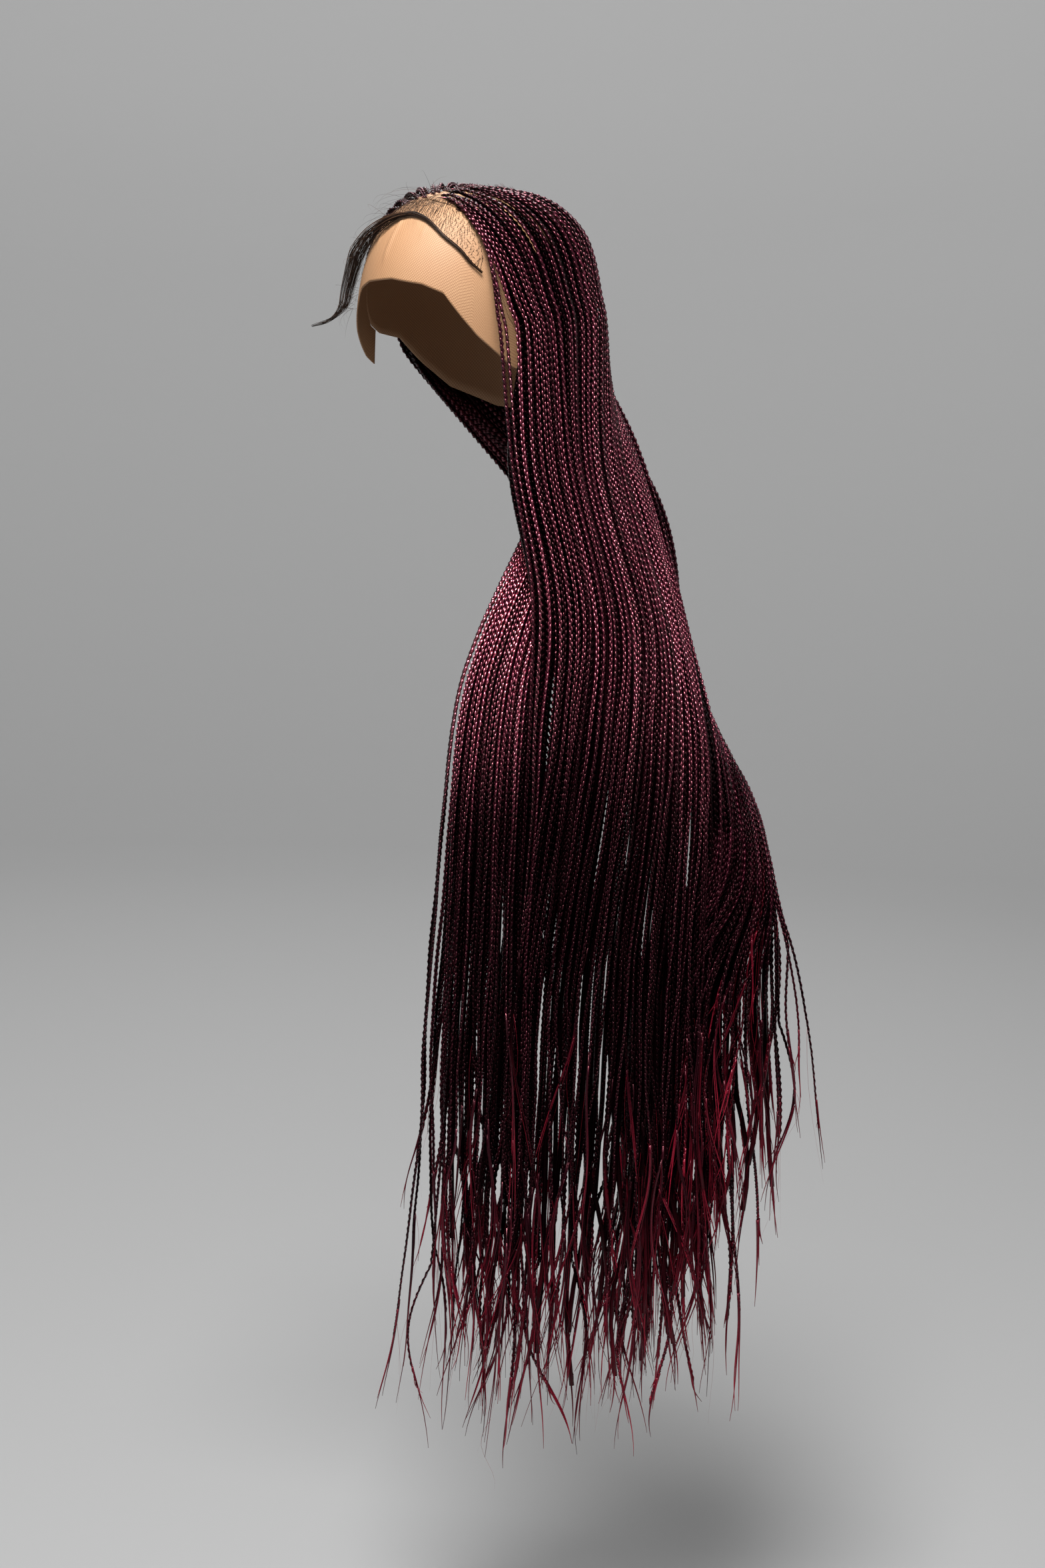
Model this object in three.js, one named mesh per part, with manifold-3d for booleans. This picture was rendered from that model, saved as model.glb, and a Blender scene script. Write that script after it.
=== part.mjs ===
// A braided lace front wig in the form it has when worn, with all its hair brought over the left shoulder.
// Millimetres. +Z is up, -Y is the way the wearer looks and +X is the wearer's left.
// The origin is where the top of the head touches the inside of the cap.
import * as THREE from "three";
import { mergeVertices } from "three/addons/utils/BufferGeometryUtils.js";
import Module from "manifold-3d";

const wasm = await Module();
wasm.setup();

// Driving dimensions

// The head form that the cap is shaped on: an ellipse in plan, squarer than an ellipse in profile
const HEAD = {
  halfWidth: 78,
  halfLength: 99,
  crownRise: 118, // from the widest level up to the crown
  napeFall: 150, // reach of the curve below the widest level
  fullness: 2.7, // 2 is an ellipsoid, a higher number is squarer
};

const CAP = { wall: 1.2, rows: 7, columnsPerSpan: 2 };
const LACE = { wall: 1, rows: 4, seam: 1.1 };

// Edge of the cap on one side, from the front root line round the ear to the nape. drop is below the crown.
const CAP_EDGE = [
  { azimuth: 0, drop: 8 },
  { azimuth: 25, drop: 11 },
  { azimuth: 40, drop: 16 },
  { azimuth: 47, drop: 21 },
  { azimuth: 53, drop: 38 },
  { azimuth: 59, drop: 64 },
  { azimuth: 65, drop: 92 },
  { azimuth: 71, drop: 105 },
  { azimuth: 80, drop: 112 },
  { azimuth: 95, drop: 116 },
  { azimuth: 108, drop: 134 },
  { azimuth: 125, drop: 154 },
  { azimuth: 150, drop: 168 },
  { azimuth: 180, drop: 172 },
];

// Front edge of the lace on one side, across the forehead and down to the tab by the ear
const LACE_EDGE = [
  { azimuth: 0, drop: 68 },
  { azimuth: 20, drop: 71 },
  { azimuth: 32, drop: 77 },
  { azimuth: 41, drop: 93 },
  { azimuth: 50, drop: 108 },
  { azimuth: 59, drop: 119 },
  { azimuth: 68, drop: 130 },
  { azimuth: 76, drop: 136 },
];

// The lock laid along the hairline, from the left temple over the peak to its free end by the right temple
const BABY_HAIR = [
  { azimuth: 51, drop: 61, clear: 1.9, width: 3.5, thick: 2 },
  { azimuth: 43, drop: 51, clear: 1.9, width: 4, thick: 2.2 },
  { azimuth: 32, drop: 38, clear: 1.9, width: 4, thick: 2.2 },
  { azimuth: 20, drop: 28, clear: 1.9, width: 4.5, thick: 2.4 },
  { azimuth: 8, drop: 22, clear: 1.9, width: 6, thick: 2.6 },
  { azimuth: -4, drop: 21, clear: 1.9, width: 8, thick: 3 },
  { azimuth: -18, drop: 26, clear: 1.9, width: 10, thick: 3.2 },
  { azimuth: -31, drop: 37, clear: 2, width: 13, thick: 3.6 },
  { azimuth: -42, drop: 53, clear: 2.2, width: 14, thick: 4 },
  { azimuth: -47, drop: 74, clear: 4, width: 12, thick: 4 },
  { azimuth: -47, drop: 92, clear: 8, width: 8, thick: 3.4 },
  { azimuth: -46, drop: 102, clear: 20, width: 5, thick: 2.6 },
  { azimuth: -44, drop: 107, clear: 34, width: 2.5, thick: 1.8 },
];

const SEAT = 2.8; // underside of the hair above the inside of the cap
const ROOT_BAND = { width: 7, thick: 4, crownSteps: 16, napeSteps: 6 };

// The hanging hair is a flat curtain in front of the left shoulder, on this line in plan.
// It hangs plumb from top, begins to spread at middle, and no tip reaches lowest.
const CURTAIN = { x: 72, y: -102, heading: 38, top: -600, middle: -792, lowest: -1080 };

// Lock sections along the braid, as shares of the spacing to the next lock and thicknesses
const LOCK = { sides: 6, fallSteps: 13, fill: 0.9, taper: 110, tip: 0.3 };

// Groups of locks, each from its first lock at share 0 to its last at share 1.
// roots is the line of their roots in plan, and hang is where they leave the head.
// Each rail lists the places the hair passes on its way to the curtain, and the way its outer side faces.
// along, behind and the two flares place the rail in the curtain: at its top, at mid length and at the tips.
const NEAR = {
  locks: 9,
  seatSteps: 8,
  length: 1005,
  roots: [
    { x: 40, y: -45 },
    { x: 22, y: -49 },
    { x: 6.6, y: -48 },
    { x: 6.6, y: 40 },
  ],
  hang: [
    { share: 0, azimuth: 58, drop: 118, thick: 15 },
    { share: 0.2, azimuth: 71, drop: 118, thick: 15 },
    { share: 0.4, azimuth: 86, drop: 118, thick: 18 },
    { share: 1, azimuth: 174, drop: 118, thick: 24 },
  ],
  thick: { root: 6, fall: 13 },
  rails: [
    {
      via: [
        { x: 87, y: -52, z: -200, out: [0.75, -0.65, 0.1] },
        { x: 117, y: -56, z: -300, out: [0.65, -0.75, 0.15] },
        { x: 122, y: -61, z: -400, out: [0.6, -0.8, 0] },
      ],
      along: 60,
      behind: 0,
      flare: { middle: -2, tip: -8 },
    },
    {
      via: [
        { x: 112, y: 14, z: -205, out: [1, 0.05, 0.2] },
        { x: 161, y: 6, z: -325, out: [0.85, -0.2, 0.5] },
        { x: 178, y: -14, z: -410, out: [0.7, -0.7, 0.2] },
      ],
      along: 128,
      behind: -2,
      flare: { middle: 0, tip: 2 },
    },
    {
      via: [
        { x: 83, y: 102, z: -195, out: [0.5, 0.85, 0.15] },
        { x: 166, y: 73, z: -346, out: [0.8, 0.3, 0.5] },
        { x: 208, y: 48, z: -430, out: [0.8, -0.3, 0.5] },
      ],
      along: 204,
      behind: 12,
      flare: { middle: 4, tip: 6 },
    },
  ],
};

const FAR = {
  locks: 9,
  seatSteps: 10,
  length: 1015,
  roots: [
    { x: -69, y: -34 },
    { x: -55, y: -44 },
    { x: -40, y: -45 },
    { x: -22, y: -49 },
    { x: -6.6, y: -48 },
    { x: -6.6, y: 40 },
  ],
  hang: [
    { share: 0, azimuth: -112, drop: 146, thick: 15 },
    { share: 0.3, azimuth: -134, drop: 172, thick: 15 },
    { share: 1, azimuth: -180, drop: 178, thick: 15 },
  ],
  thick: { root: 6, fall: 18 },
  rails: [
    {
      via: [
        { x: -36, y: 112, z: -234, out: [-0.4, 0.9, 0] },
        { x: 20, y: 130, z: -296, out: [0, 1, 0.1] },
        { x: 78, y: 139, z: -368, out: [0.25, 0.9, 0.35] },
        { x: 169, y: 125, z: -434, out: [0.4, 0.5, 0.75] },
        { x: 210, y: 114, z: -474, out: [0.55, 0.1, 0.8] },
        { x: 256, y: 82, z: -530, out: [0.65, -0.6, 0.5] },
      ],
      along: 278,
      behind: 6,
      flare: { middle: 16, tip: 40 },
    },
    {
      via: [
        { x: 36, y: 119, z: -210, out: [0, 1, 0] },
        { x: 70, y: 124, z: -246, out: [0.15, 1, 0.1] },
        { x: 107, y: 119, z: -300, out: [0.35, 0.85, 0.3] },
        { x: 147, y: 107, z: -376, out: [0.5, 0.5, 0.7] },
        { x: 196, y: 85, z: -442, out: [0.6, 0, 0.8] },
        { x: 226, y: 54, z: -510, out: [0.65, -0.7, 0.3] },
      ],
      along: 209,
      behind: 16,
      flare: { middle: 6, tip: 10 },
    },
  ],
};

const NAPE = {
  locks: 4,
  seatSteps: 2,
  length: 865,
  rootDrop: 146,
  roots: [120, 148],
  thick: { root: 4, head: 6, fall: 13 },
  rails: [
    {
      via: [
        { x: 73, y: -7, z: -252, out: [0.9, -0.4, 0.1] },
        { x: 83, y: -50, z: -295, out: [0.7, -0.6, 0.4] },
        { x: 84, y: -77, z: -335, out: [0.6, -0.7, 0.4] },
        { x: 82, y: -95, z: -383, out: [0.6, -0.78, 0.2] },
      ],
      along: 1,
      behind: -6,
      flare: { middle: 1, tip: 22 },
    },
    {
      via: [
        { x: 80, y: 30, z: -240, out: [0.95, 0.1, 0.1] },
        { x: 100, y: -18, z: -285, out: [0.8, -0.5, 0.4] },
        { x: 107, y: -48, z: -328, out: [0.6, -0.7, 0.4] },
        { x: 109, y: -67, z: -380, out: [0.6, -0.78, 0.2] },
      ],
      along: 53,
      behind: -6,
      flare: { middle: -1, tip: -4 },
    },
  ],
};

// One pair of braids that leaves the front edge of the nape locks and swings away at its tip
const STRAY = { width: 6, along: -5, flare: { middle: -8, tip: -62 }, length: 830 };

const FINISH = {
  lace: { color: 0xd9b48c, roughness: 0.75 },
  brownHair: { color: 0x32201c, roughness: 0.5 },
  burgundyHair: { color: 0x5a1028, roughness: 0.45 },
};

// Small helpers

const vec = (x, y, z) => new THREE.Vector3(x, y, z);
const lerp = THREE.MathUtils.lerp;
const radians = THREE.MathUtils.degToRad;

/** Reads a table of rows at a place between them: key(row) rises along the table. */
function readTable(rows, key, at, column) {
  const last = rows.length - 2;
  let i = 0;
  while (i < last && at > key(rows[i + 1])) i += 1;
  const from = rows[i];
  const to = rows[i + 1];
  const share = THREE.MathUtils.clamp((at - key(from)) / (key(to) - key(from)), 0, 1);
  return lerp(from[column], to[column], share);
}

/** Reads an evenly spaced list of numbers at a share from 0 to 1. */
function readList(list, share) {
  const at = THREE.MathUtils.clamp(share, 0, 1) * (list.length - 1);
  const i = Math.min(Math.floor(at), list.length - 2);
  return lerp(list[i], list[i + 1], at - i);
}

/** Reads values given at two or three evenly spaced rails, on a line or a parabola through them. */
function acrossRails(values, share) {
  if (values.length === 2) return lerp(values[0], values[1], share);
  const [first, middle, last] = values;
  const a = 2 * (share - 0.5) * (share - 1);
  const b = -4 * share * (share - 1);
  const c = 2 * share * (share - 0.5);
  return first * a + middle * b + last * c;
}

// The head form

/** Unit direction from the middle of the head to the place at an azimuth, this far below the crown. */
function headDirection(azimuth, drop) {
  const below = drop > HEAD.crownRise;
  const height = (HEAD.crownRise - drop) / (below ? HEAD.napeFall : HEAD.crownRise);
  const reach = Math.pow(1 - Math.pow(Math.abs(height), HEAD.fullness), 1 / HEAD.fullness);
  const turn = radians(azimuth);
  return vec(reach * Math.sin(turn), -reach * Math.cos(turn), height).normalize();
}

/** Unit direction to the place on top of the head that lies at x, y in plan. */
function headAbove(x, y) {
  const flat = vec(x / HEAD.halfWidth, y / HEAD.halfLength, 0);
  const height = Math.pow(1 - Math.pow(flat.length(), HEAD.fullness), 1 / HEAD.fullness);
  return vec(flat.x, flat.y, height).normalize();
}

/** Point of the head form in a unit direction. */
function onHead(direction) {
  const flat = Math.hypot(direction.x, direction.y);
  const power = Math.pow(flat, HEAD.fullness) + Math.pow(Math.abs(direction.z), HEAD.fullness);
  const reach = Math.pow(power, -1 / HEAD.fullness);
  const fall = direction.z < 0 ? HEAD.napeFall : HEAD.crownRise;
  return vec(
    HEAD.halfWidth * reach * direction.x,
    HEAD.halfLength * reach * direction.y,
    fall * reach * direction.z - HEAD.crownRise,
  );
}

/** Outward normal of the head form in a unit direction. */
function headNormal(direction) {
  const flat = Math.hypot(direction.x, direction.y) || 1e-9;
  const side = Math.pow(flat, HEAD.fullness - 2);
  const rise = Math.sign(direction.z) * Math.pow(Math.abs(direction.z), HEAD.fullness - 1);
  const fall = direction.z < 0 ? HEAD.napeFall : HEAD.crownRise;
  return vec(
    (side * direction.x) / HEAD.halfWidth,
    (side * direction.y) / HEAD.halfLength,
    rise / fall,
  ).normalize();
}

/** Point this far outside the head form. */
function lifted(direction, lift) {
  return onHead(direction).addScaledVector(headNormal(direction), lift);
}

/** Direction part way round from one direction to another. */
function between(from, to, share) {
  const angle = from.angleTo(to);
  if (angle < 1e-6) return from.clone();
  const a = Math.sin((1 - share) * angle) / Math.sin(angle);
  const b = Math.sin(share * angle) / Math.sin(angle);
  return from.clone().multiplyScalar(a).addScaledVector(to, b).normalize();
}

// Meshes

/** Geometry from points and triangles of point numbers. */
function geometryFrom(points, triangles) {
  const geometry = new THREE.BufferGeometry().setFromPoints(points);
  geometry.setIndex(triangles.flat());
  return geometry;
}

/** Closed tube through rings of points, each end closed by a fan. */
function loft(rings) {
  const sides = rings[0].length;
  const points = rings.flat();
  const triangles = [];
  for (let r = 0; r + 1 < rings.length; r += 1) {
    for (let s = 0; s < sides; s += 1) {
      const a = r * sides + s;
      const b = r * sides + ((s + 1) % sides);
      triangles.push([a, b, b + sides], [a, b + sides, a + sides]);
    }
  }
  const end = (rings.length - 1) * sides;
  for (let s = 1; s + 1 < sides; s += 1) {
    triangles.push([0, s + 1, s], [end, end + s, end + s + 1]);
  }
  return geometryFrom(points, triangles);
}

/** Thin wall over a grid of places, open at both ends or closed round with a pole at row 0. */
function wall(columns, rows, closed, thickness, directionAt) {
  const points = [];
  const triangles = [];
  const number = new Map();
  const pointAt = (c, r, side) => {
    const column = closed ? c % columns : c;
    const key = closed && r === 0 ? `pole ${side}` : `${column} ${r} ${side}`;
    if (!number.has(key)) {
      number.set(key, points.length);
      points.push(lifted(directionAt(column, r), side * thickness));
    }
    return number.get(key);
  };
  const quad = (a, b, c, d) => {
    if (a !== b) triangles.push([a, b, c]);
    triangles.push([a, c, d]);
  };
  const spans = closed ? columns : columns - 1;
  for (let c = 0; c < spans; c += 1) {
    for (let r = 0; r < rows; r += 1) {
      quad(pointAt(c + 1, r, 1), pointAt(c, r, 1), pointAt(c, r + 1, 1), pointAt(c + 1, r + 1, 1));
      quad(pointAt(c, r, 0), pointAt(c + 1, r, 0), pointAt(c + 1, r + 1, 0), pointAt(c, r + 1, 0));
    }
    quad(pointAt(c, rows, 0), pointAt(c + 1, rows, 0), pointAt(c + 1, rows, 1), pointAt(c, rows, 1));
    if (!closed) quad(pointAt(c + 1, 0, 0), pointAt(c, 0, 0), pointAt(c, 0, 1), pointAt(c + 1, 0, 1));
  }
  if (!closed) {
    for (let r = 0; r < rows; r += 1) {
      quad(pointAt(0, r, 0), pointAt(0, r + 1, 0), pointAt(0, r + 1, 1), pointAt(0, r, 1));
      quad(pointAt(spans, r + 1, 0), pointAt(spans, r, 0), pointAt(spans, r, 1), pointAt(spans, r + 1, 1));
    }
  }
  return geometryFrom(points, triangles);
}

/** Solid from a closed geometry. */
function solidOf(geometry) {
  const merged = mergeVertices(geometry, 1e-4);
  return new wasm.Manifold(
    new wasm.Mesh({
      numProp: 3,
      vertProperties: merged.getAttribute("position").array,
      triVerts: new Uint32Array(merged.index.array),
    }),
  );
}

/** One geometry of several that overlap, with any gap sealed in between them filled. */
function fuse(geometries) {
  const joined = geometries.map(solidOf).reduce((whole, next) => whole.add(next));
  const bodies = joined.decompose().filter((body) => body.volume() > 0);
  const mesh = bodies.reduce((whole, next) => whole.add(next)).getMesh();
  return new THREE.BufferGeometry()
    .setAttribute("position", new THREE.BufferAttribute(new Float32Array(mesh.vertProperties), 3))
    .setIndex(new THREE.BufferAttribute(new Uint32Array(mesh.triVerts), 1));
}

// Cap and lace

/** Azimuths of the columns of a wall whose edge is a table of one side, mirrored for the other. */
function columnAzimuths(edge, perSpan) {
  const half = [];
  for (let i = 0; i + 1 < edge.length; i += 1) {
    for (let k = 0; k < perSpan; k += 1) {
      half.push(lerp(edge[i].azimuth, edge[i + 1].azimuth, k / perSpan));
    }
  }
  half.push(edge[edge.length - 1].azimuth);
  const mirrored = half.slice(1).reverse().map((azimuth) => -azimuth);
  return [...mirrored, ...half];
}

/** How far below the crown an edge runs at an azimuth on either side. */
function edgeDrop(edge, azimuth) {
  return readTable(edge, (row) => row.azimuth, Math.abs(azimuth), "drop");
}

function makeCap() {
  const crown = vec(0, 0, 1);
  const azimuths = columnAzimuths(CAP_EDGE, CAP.columnsPerSpan).slice(1);
  return wall(azimuths.length, CAP.rows, true, CAP.wall, (c, r) => {
    const edge = headDirection(azimuths[c], edgeDrop(CAP_EDGE, azimuths[c]));
    return between(crown, edge, r / CAP.rows);
  });
}

function makeLaceFront() {
  const tab = LACE_EDGE[LACE_EDGE.length - 1].azimuth;
  const shared = columnAzimuths(CAP_EDGE, CAP.columnsPerSpan).filter((azimuth) => Math.abs(azimuth) < tab);
  const azimuths = [-tab, ...shared, tab];
  return wall(azimuths.length, LACE.rows, false, LACE.wall, (c, r) => {
    const back = headDirection(azimuths[c], edgeDrop(CAP_EDGE, azimuths[c]));
    const front = headDirection(azimuths[c], edgeDrop(LACE_EDGE, azimuths[c]));
    const seam = LACE.seam / onHead(back).distanceTo(onHead(front));
    return between(back, front, lerp(seam, 1, r / LACE.rows));
  });
}

// Locks

/** Flat round section across a path: outward is the way its outer side faces. */
function sectionRing(centre, along, outward, width, thick) {
  const across = vec().crossVectors(outward, along).normalize();
  const out = vec().crossVectors(along, across).normalize();
  return Array.from({ length: LOCK.sides }, (_, i) => {
    const turn = (2 * Math.PI * i) / LOCK.sides;
    return centre
      .clone()
      .addScaledVector(across, (Math.cos(turn) * width) / 2)
      .addScaledVector(out, (Math.sin(turn) * thick) / 2);
  });
}

/** Height of a six-sided section's middle above its flat underside. */
const halfHeight = (thick) => (thick / 2) * Math.sin(Math.PI / 3);

/** Tube along stations of place, outward way, width and thickness. */
function loftStations(stations) {
  const rings = stations.map((station, i) => {
    const before = stations[Math.max(i - 1, 0)].place;
    const after = stations[Math.min(i + 1, stations.length - 1)].place;
    const along = after.clone().sub(before).normalize();
    return sectionRing(station.place, along, station.outward, station.width, station.thick);
  });
  return loft(rings);
}

function makeBabyHair() {
  return loftStations(
    BABY_HAIR.map((row) => {
      const direction = headDirection(row.azimuth, row.drop);
      return {
        place: lifted(direction, row.clear + halfHeight(row.thick)),
        outward: headNormal(direction),
        width: row.width,
        thick: row.thick,
      };
    }),
  );
}

/** Point of the hanging curtain. */
function inCurtain(along, behind, level) {
  const turn = radians(CURTAIN.heading);
  return vec(
    CURTAIN.x + along * Math.cos(turn) - behind * Math.sin(turn),
    CURTAIN.y + along * Math.sin(turn) + behind * Math.cos(turn),
    level,
  );
}

const CURTAIN_FACE = vec(Math.sin(radians(CURTAIN.heading)), -Math.cos(radians(CURTAIN.heading)), 0);

/** Points of the fall between a group's rails, from below the head to past the tips. */
function fallPoints(rails, share) {
  const mix = (read) => acrossRails(rails.map(read), share);
  const passed = rails[0].via.map((_, i) => ({
    place: vec(mix((rail) => rail.via[i].x), mix((rail) => rail.via[i].y), mix((rail) => rail.via[i].z)),
    outward: vec(...[0, 1, 2].map((k) => mix((rail) => rail.via[i].out[k]))).normalize(),
  }));
  const along = mix((rail) => rail.along);
  const behind = mix((rail) => rail.behind);
  const hung = [
    { level: CURTAIN.top, flare: 0 },
    { level: CURTAIN.middle, flare: mix((rail) => rail.flare.middle) },
    { level: CURTAIN.lowest, flare: mix((rail) => rail.flare.tip) },
  ].map((row) => ({ place: inCurtain(along + row.flare, behind, row.level), outward: CURTAIN_FACE }));
  return [...passed, ...hung];
}

/** Direction to the place on a line of roots at a share of its length in plan. */
function rootDirection(roots, share) {
  const spans = roots.slice(1).map((to, i) => Math.hypot(to.x - roots[i].x, to.y - roots[i].y));
  let left = THREE.MathUtils.clamp(share, 0, 1) * spans.reduce((sum, span) => sum + span, 0);
  let i = 0;
  while (i + 1 < spans.length && left > spans[i]) {
    left -= spans[i];
    i += 1;
  }
  const part = left / spans[i];
  return headAbove(lerp(roots[i].x, roots[i + 1].x, part), lerp(roots[i].y, roots[i + 1].y, part));
}

/** Path of one lock of a half of the cap: from its root over the head, then down through the fall. */
function crownPath(group, share) {
  const from = rootDirection(group.roots, share);
  const hangRow = (column) => readTable(group.hang, (row) => row.share, share, column);
  const to = headDirection(hangRow("azimuth"), hangRow("drop"));
  const onCap = Array.from({ length: group.seatSteps }, (_, i) => {
    const reach = i / (group.seatSteps - 1);
    const direction = between(from, to, reach);
    const thick = lerp(group.thick.root, hangRow("thick"), reach);
    return { place: lifted(direction, SEAT + halfHeight(thick)), outward: headNormal(direction), thick };
  });
  const fall = fallPoints(group.rails, share);
  return [...onCap, ...fall.map((point) => ({ ...point, thick: group.thick.fall }))];
}

/** Path of one lock rooted low on the cap: a short seat, then the fall. */
function napePath(share) {
  const azimuth = readList(NAPE.roots, share);
  const onCap = [NAPE.thick.root, NAPE.thick.head].map((thick, i) => {
    const direction = headDirection(azimuth, NAPE.rootDrop + i * ROOT_BAND.width);
    return { place: lifted(direction, SEAT + halfHeight(thick)), outward: headNormal(direction), thick };
  });
  const fall = fallPoints(NAPE.rails, share);
  return [...onCap, ...fall.map((point) => ({ ...point, thick: NAPE.thick.fall }))];
}

/** Path of the pair of braids that hangs free in front of the nape locks. */
function strayPath() {
  const rail = { ...NAPE.rails[0], along: STRAY.along, flare: STRAY.flare };
  const seat = napePath(0.5 / NAPE.locks).slice(0, NAPE.seatSteps);
  const fall = fallPoints([rail, rail], 0);
  return [...seat, ...fall].map((point) => ({ ...point, thick: STRAY.width }));
}

/** Smooth curve through the places of a path. */
function curveThrough(path) {
  return new THREE.CatmullRomCurve3(path.map((point) => point.place), false, "centripetal");
}

/** Width of a lock at each curve parameter: most of the way to its neighbours on both sides. */
function widthBetweenNeighbours(pathOf, share, spacing) {
  const own = curveThrough(pathOf(share));
  const beside = [share - spacing, share + spacing].map((next) => curveThrough(pathOf(next)));
  return (at) => {
    const place = own.getPoint(at);
    const gaps = beside.map((curve) => curve.getPoint(at).distanceTo(place));
    return (LOCK.fill * (gaps[0] + gaps[1])) / 2;
  };
}

/** Stations along a path, closest over its seat on the cap, cut at the braids' length and thinned there. */
function lockStations(path, seatSteps, braidLength, widthAt) {
  const curve = curveThrough(path);
  const whole = curve.getLength();
  const length = Math.min(whole, braidLength);
  const seated = path.slice(0, seatSteps);
  const steps = seated.slice(1).map((point, i) => point.place.distanceTo(seated[i].place));
  const seatRun = steps.reduce((run, step) => run + step, 0);
  const runs = [
    ...Array.from({ length: seatSteps }, (_, i) => (seatRun * i) / seatSteps),
    ...Array.from({ length: LOCK.fallSteps + 1 }, (_, i) => lerp(seatRun, length, i / LOCK.fallSteps)),
  ];
  return runs.map((run) => {
    const at = curve.getUtoTmapping(run / whole);
    const row = at * (path.length - 1);
    const lower = Math.min(Math.floor(row), path.length - 2);
    const part = row - lower;
    const thin = lerp(LOCK.tip, 1, Math.min(1, (length - run) / LOCK.taper));
    return {
      place: curve.getPoint(at),
      outward: path[lower].outward.clone().lerp(path[lower + 1].outward, part).normalize(),
      width: widthAt(at) * thin,
      thick: lerp(path[lower].thick, path[lower + 1].thick, part) * thin,
    };
  });
}

/** Row of locks side by side along a group's shares from 0 to 1. */
function lockRow(group, pathOf) {
  const spacing = 1 / group.locks;
  return Array.from({ length: group.locks }, (_, i) => {
    const share = (i + 0.5) * spacing;
    const widthAt = widthBetweenNeighbours(pathOf, share, spacing);
    return loftStations(lockStations(pathOf(share), group.seatSteps, group.length, widthAt));
  });
}

/** Band of roots along a row of directions, which the locks grow out of. */
function rootBand(directionAt, steps) {
  return loftStations(
    Array.from({ length: steps + 1 }, (_, i) => {
      const direction = directionAt(i / steps);
      return {
        place: lifted(direction, SEAT + halfHeight(ROOT_BAND.thick)),
        outward: headNormal(direction),
        width: ROOT_BAND.width,
        thick: ROOT_BAND.thick,
      };
    }),
  );
}

function makeCrownLocks(group) {
  const band = rootBand((share) => rootDirection(group.roots, share), ROOT_BAND.crownSteps);
  return fuse([band, ...lockRow(group, (share) => crownPath(group, share))]);
}

function makeNapeLocks() {
  const rootAt = (share) => headDirection(readList(NAPE.roots, share), NAPE.rootDrop);
  const stray = lockStations(strayPath(), NAPE.seatSteps, STRAY.length, () => STRAY.width);
  return fuse([rootBand(rootAt, ROOT_BAND.napeSteps), ...lockRow(NAPE, napePath), loftStations(stray)]);
}

// The wig

const wig = new THREE.Group();

function addPiece(name, geometry, finish) {
  const mesh = new THREE.Mesh(geometry, new THREE.MeshStandardMaterial({ ...finish, metalness: 0 }));
  mesh.name = name;
  wig.add(mesh);
}

addPiece("lace_cap", makeCap(), FINISH.lace);
addPiece("lace_front", makeLaceFront(), FINISH.lace);
addPiece("baby_hair", makeBabyHair(), FINISH.brownHair);
addPiece("braids_near", makeCrownLocks(NEAR), FINISH.burgundyHair);
addPiece("braids_far", makeCrownLocks(FAR), FINISH.burgundyHair);
addPiece("braids_nape", makeNapeLocks(), FINISH.burgundyHair);

export default wig;
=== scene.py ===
"""Looks of a braided lace front wig, dressed over the left shoulder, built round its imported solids.

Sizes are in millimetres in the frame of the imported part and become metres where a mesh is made.
+Z is up, -Y is the way the wearer looks, +X is the wearer's left, and the origin is inside the crown.
"""

from __future__ import annotations

import logging
import math
from collections.abc import Callable
from dataclasses import dataclass, field
from enum import Enum

import bmesh
import bpy
import numpy as np
from bpy.types import ID, Material, Node, NodeSocket, NodeTree, Object
from mathutils import Matrix, Vector

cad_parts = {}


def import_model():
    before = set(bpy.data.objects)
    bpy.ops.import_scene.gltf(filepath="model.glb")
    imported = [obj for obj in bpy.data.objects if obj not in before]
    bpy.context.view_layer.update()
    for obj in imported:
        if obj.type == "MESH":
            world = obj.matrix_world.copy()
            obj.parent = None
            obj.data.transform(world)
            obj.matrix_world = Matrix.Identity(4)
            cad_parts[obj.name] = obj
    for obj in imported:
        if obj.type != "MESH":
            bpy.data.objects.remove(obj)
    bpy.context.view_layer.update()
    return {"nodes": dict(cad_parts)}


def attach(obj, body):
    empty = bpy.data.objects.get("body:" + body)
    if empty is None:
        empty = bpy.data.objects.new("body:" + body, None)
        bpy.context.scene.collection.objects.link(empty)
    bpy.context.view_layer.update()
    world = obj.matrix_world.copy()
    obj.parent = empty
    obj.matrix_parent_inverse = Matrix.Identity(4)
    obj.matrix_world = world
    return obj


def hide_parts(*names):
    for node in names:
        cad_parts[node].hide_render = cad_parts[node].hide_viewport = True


Array = np.ndarray
Pair = tuple[float, float]
Table = tuple[tuple[float, ...], ...]

LOG = logging.getLogger("wig")
MM = 0.001
SEED = 38
IMAGE_HEIGHT = 2352
TONE = "tone"
FIBRE_MAP = "fibre"
NET_MAP = "net"
BAKE_MAP = "OFBake"
FULL_TURN = 2 * math.pi


def linear(code: str) -> tuple[float, float, float, float]:
    """Turn an sRGB hex colour to linear.

    Args:
        code: Six hex digits.

    Returns:
        Linear red, green and blue, and an alpha of 1.
    """
    shares = [int(code[i : i + 2], 16) / 255 for i in (0, 2, 4)]
    parts = [s / 12.92 if s <= 0.04045 else ((s + 0.055) / 1.055) ** 2.4 for s in shares]
    return (*parts, 1.0)


def unit(vectors: Array) -> Array:
    """Scale vectors to length 1."""
    return vectors / np.linalg.norm(vectors, axis=-1, keepdims=True)


def eased(share: Array) -> Array:
    """Clamp shares to 0 to 1 and ease them at both ends."""
    share = np.clip(share, 0.0, 1.0)
    return share * share * (3 - 2 * share)


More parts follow.
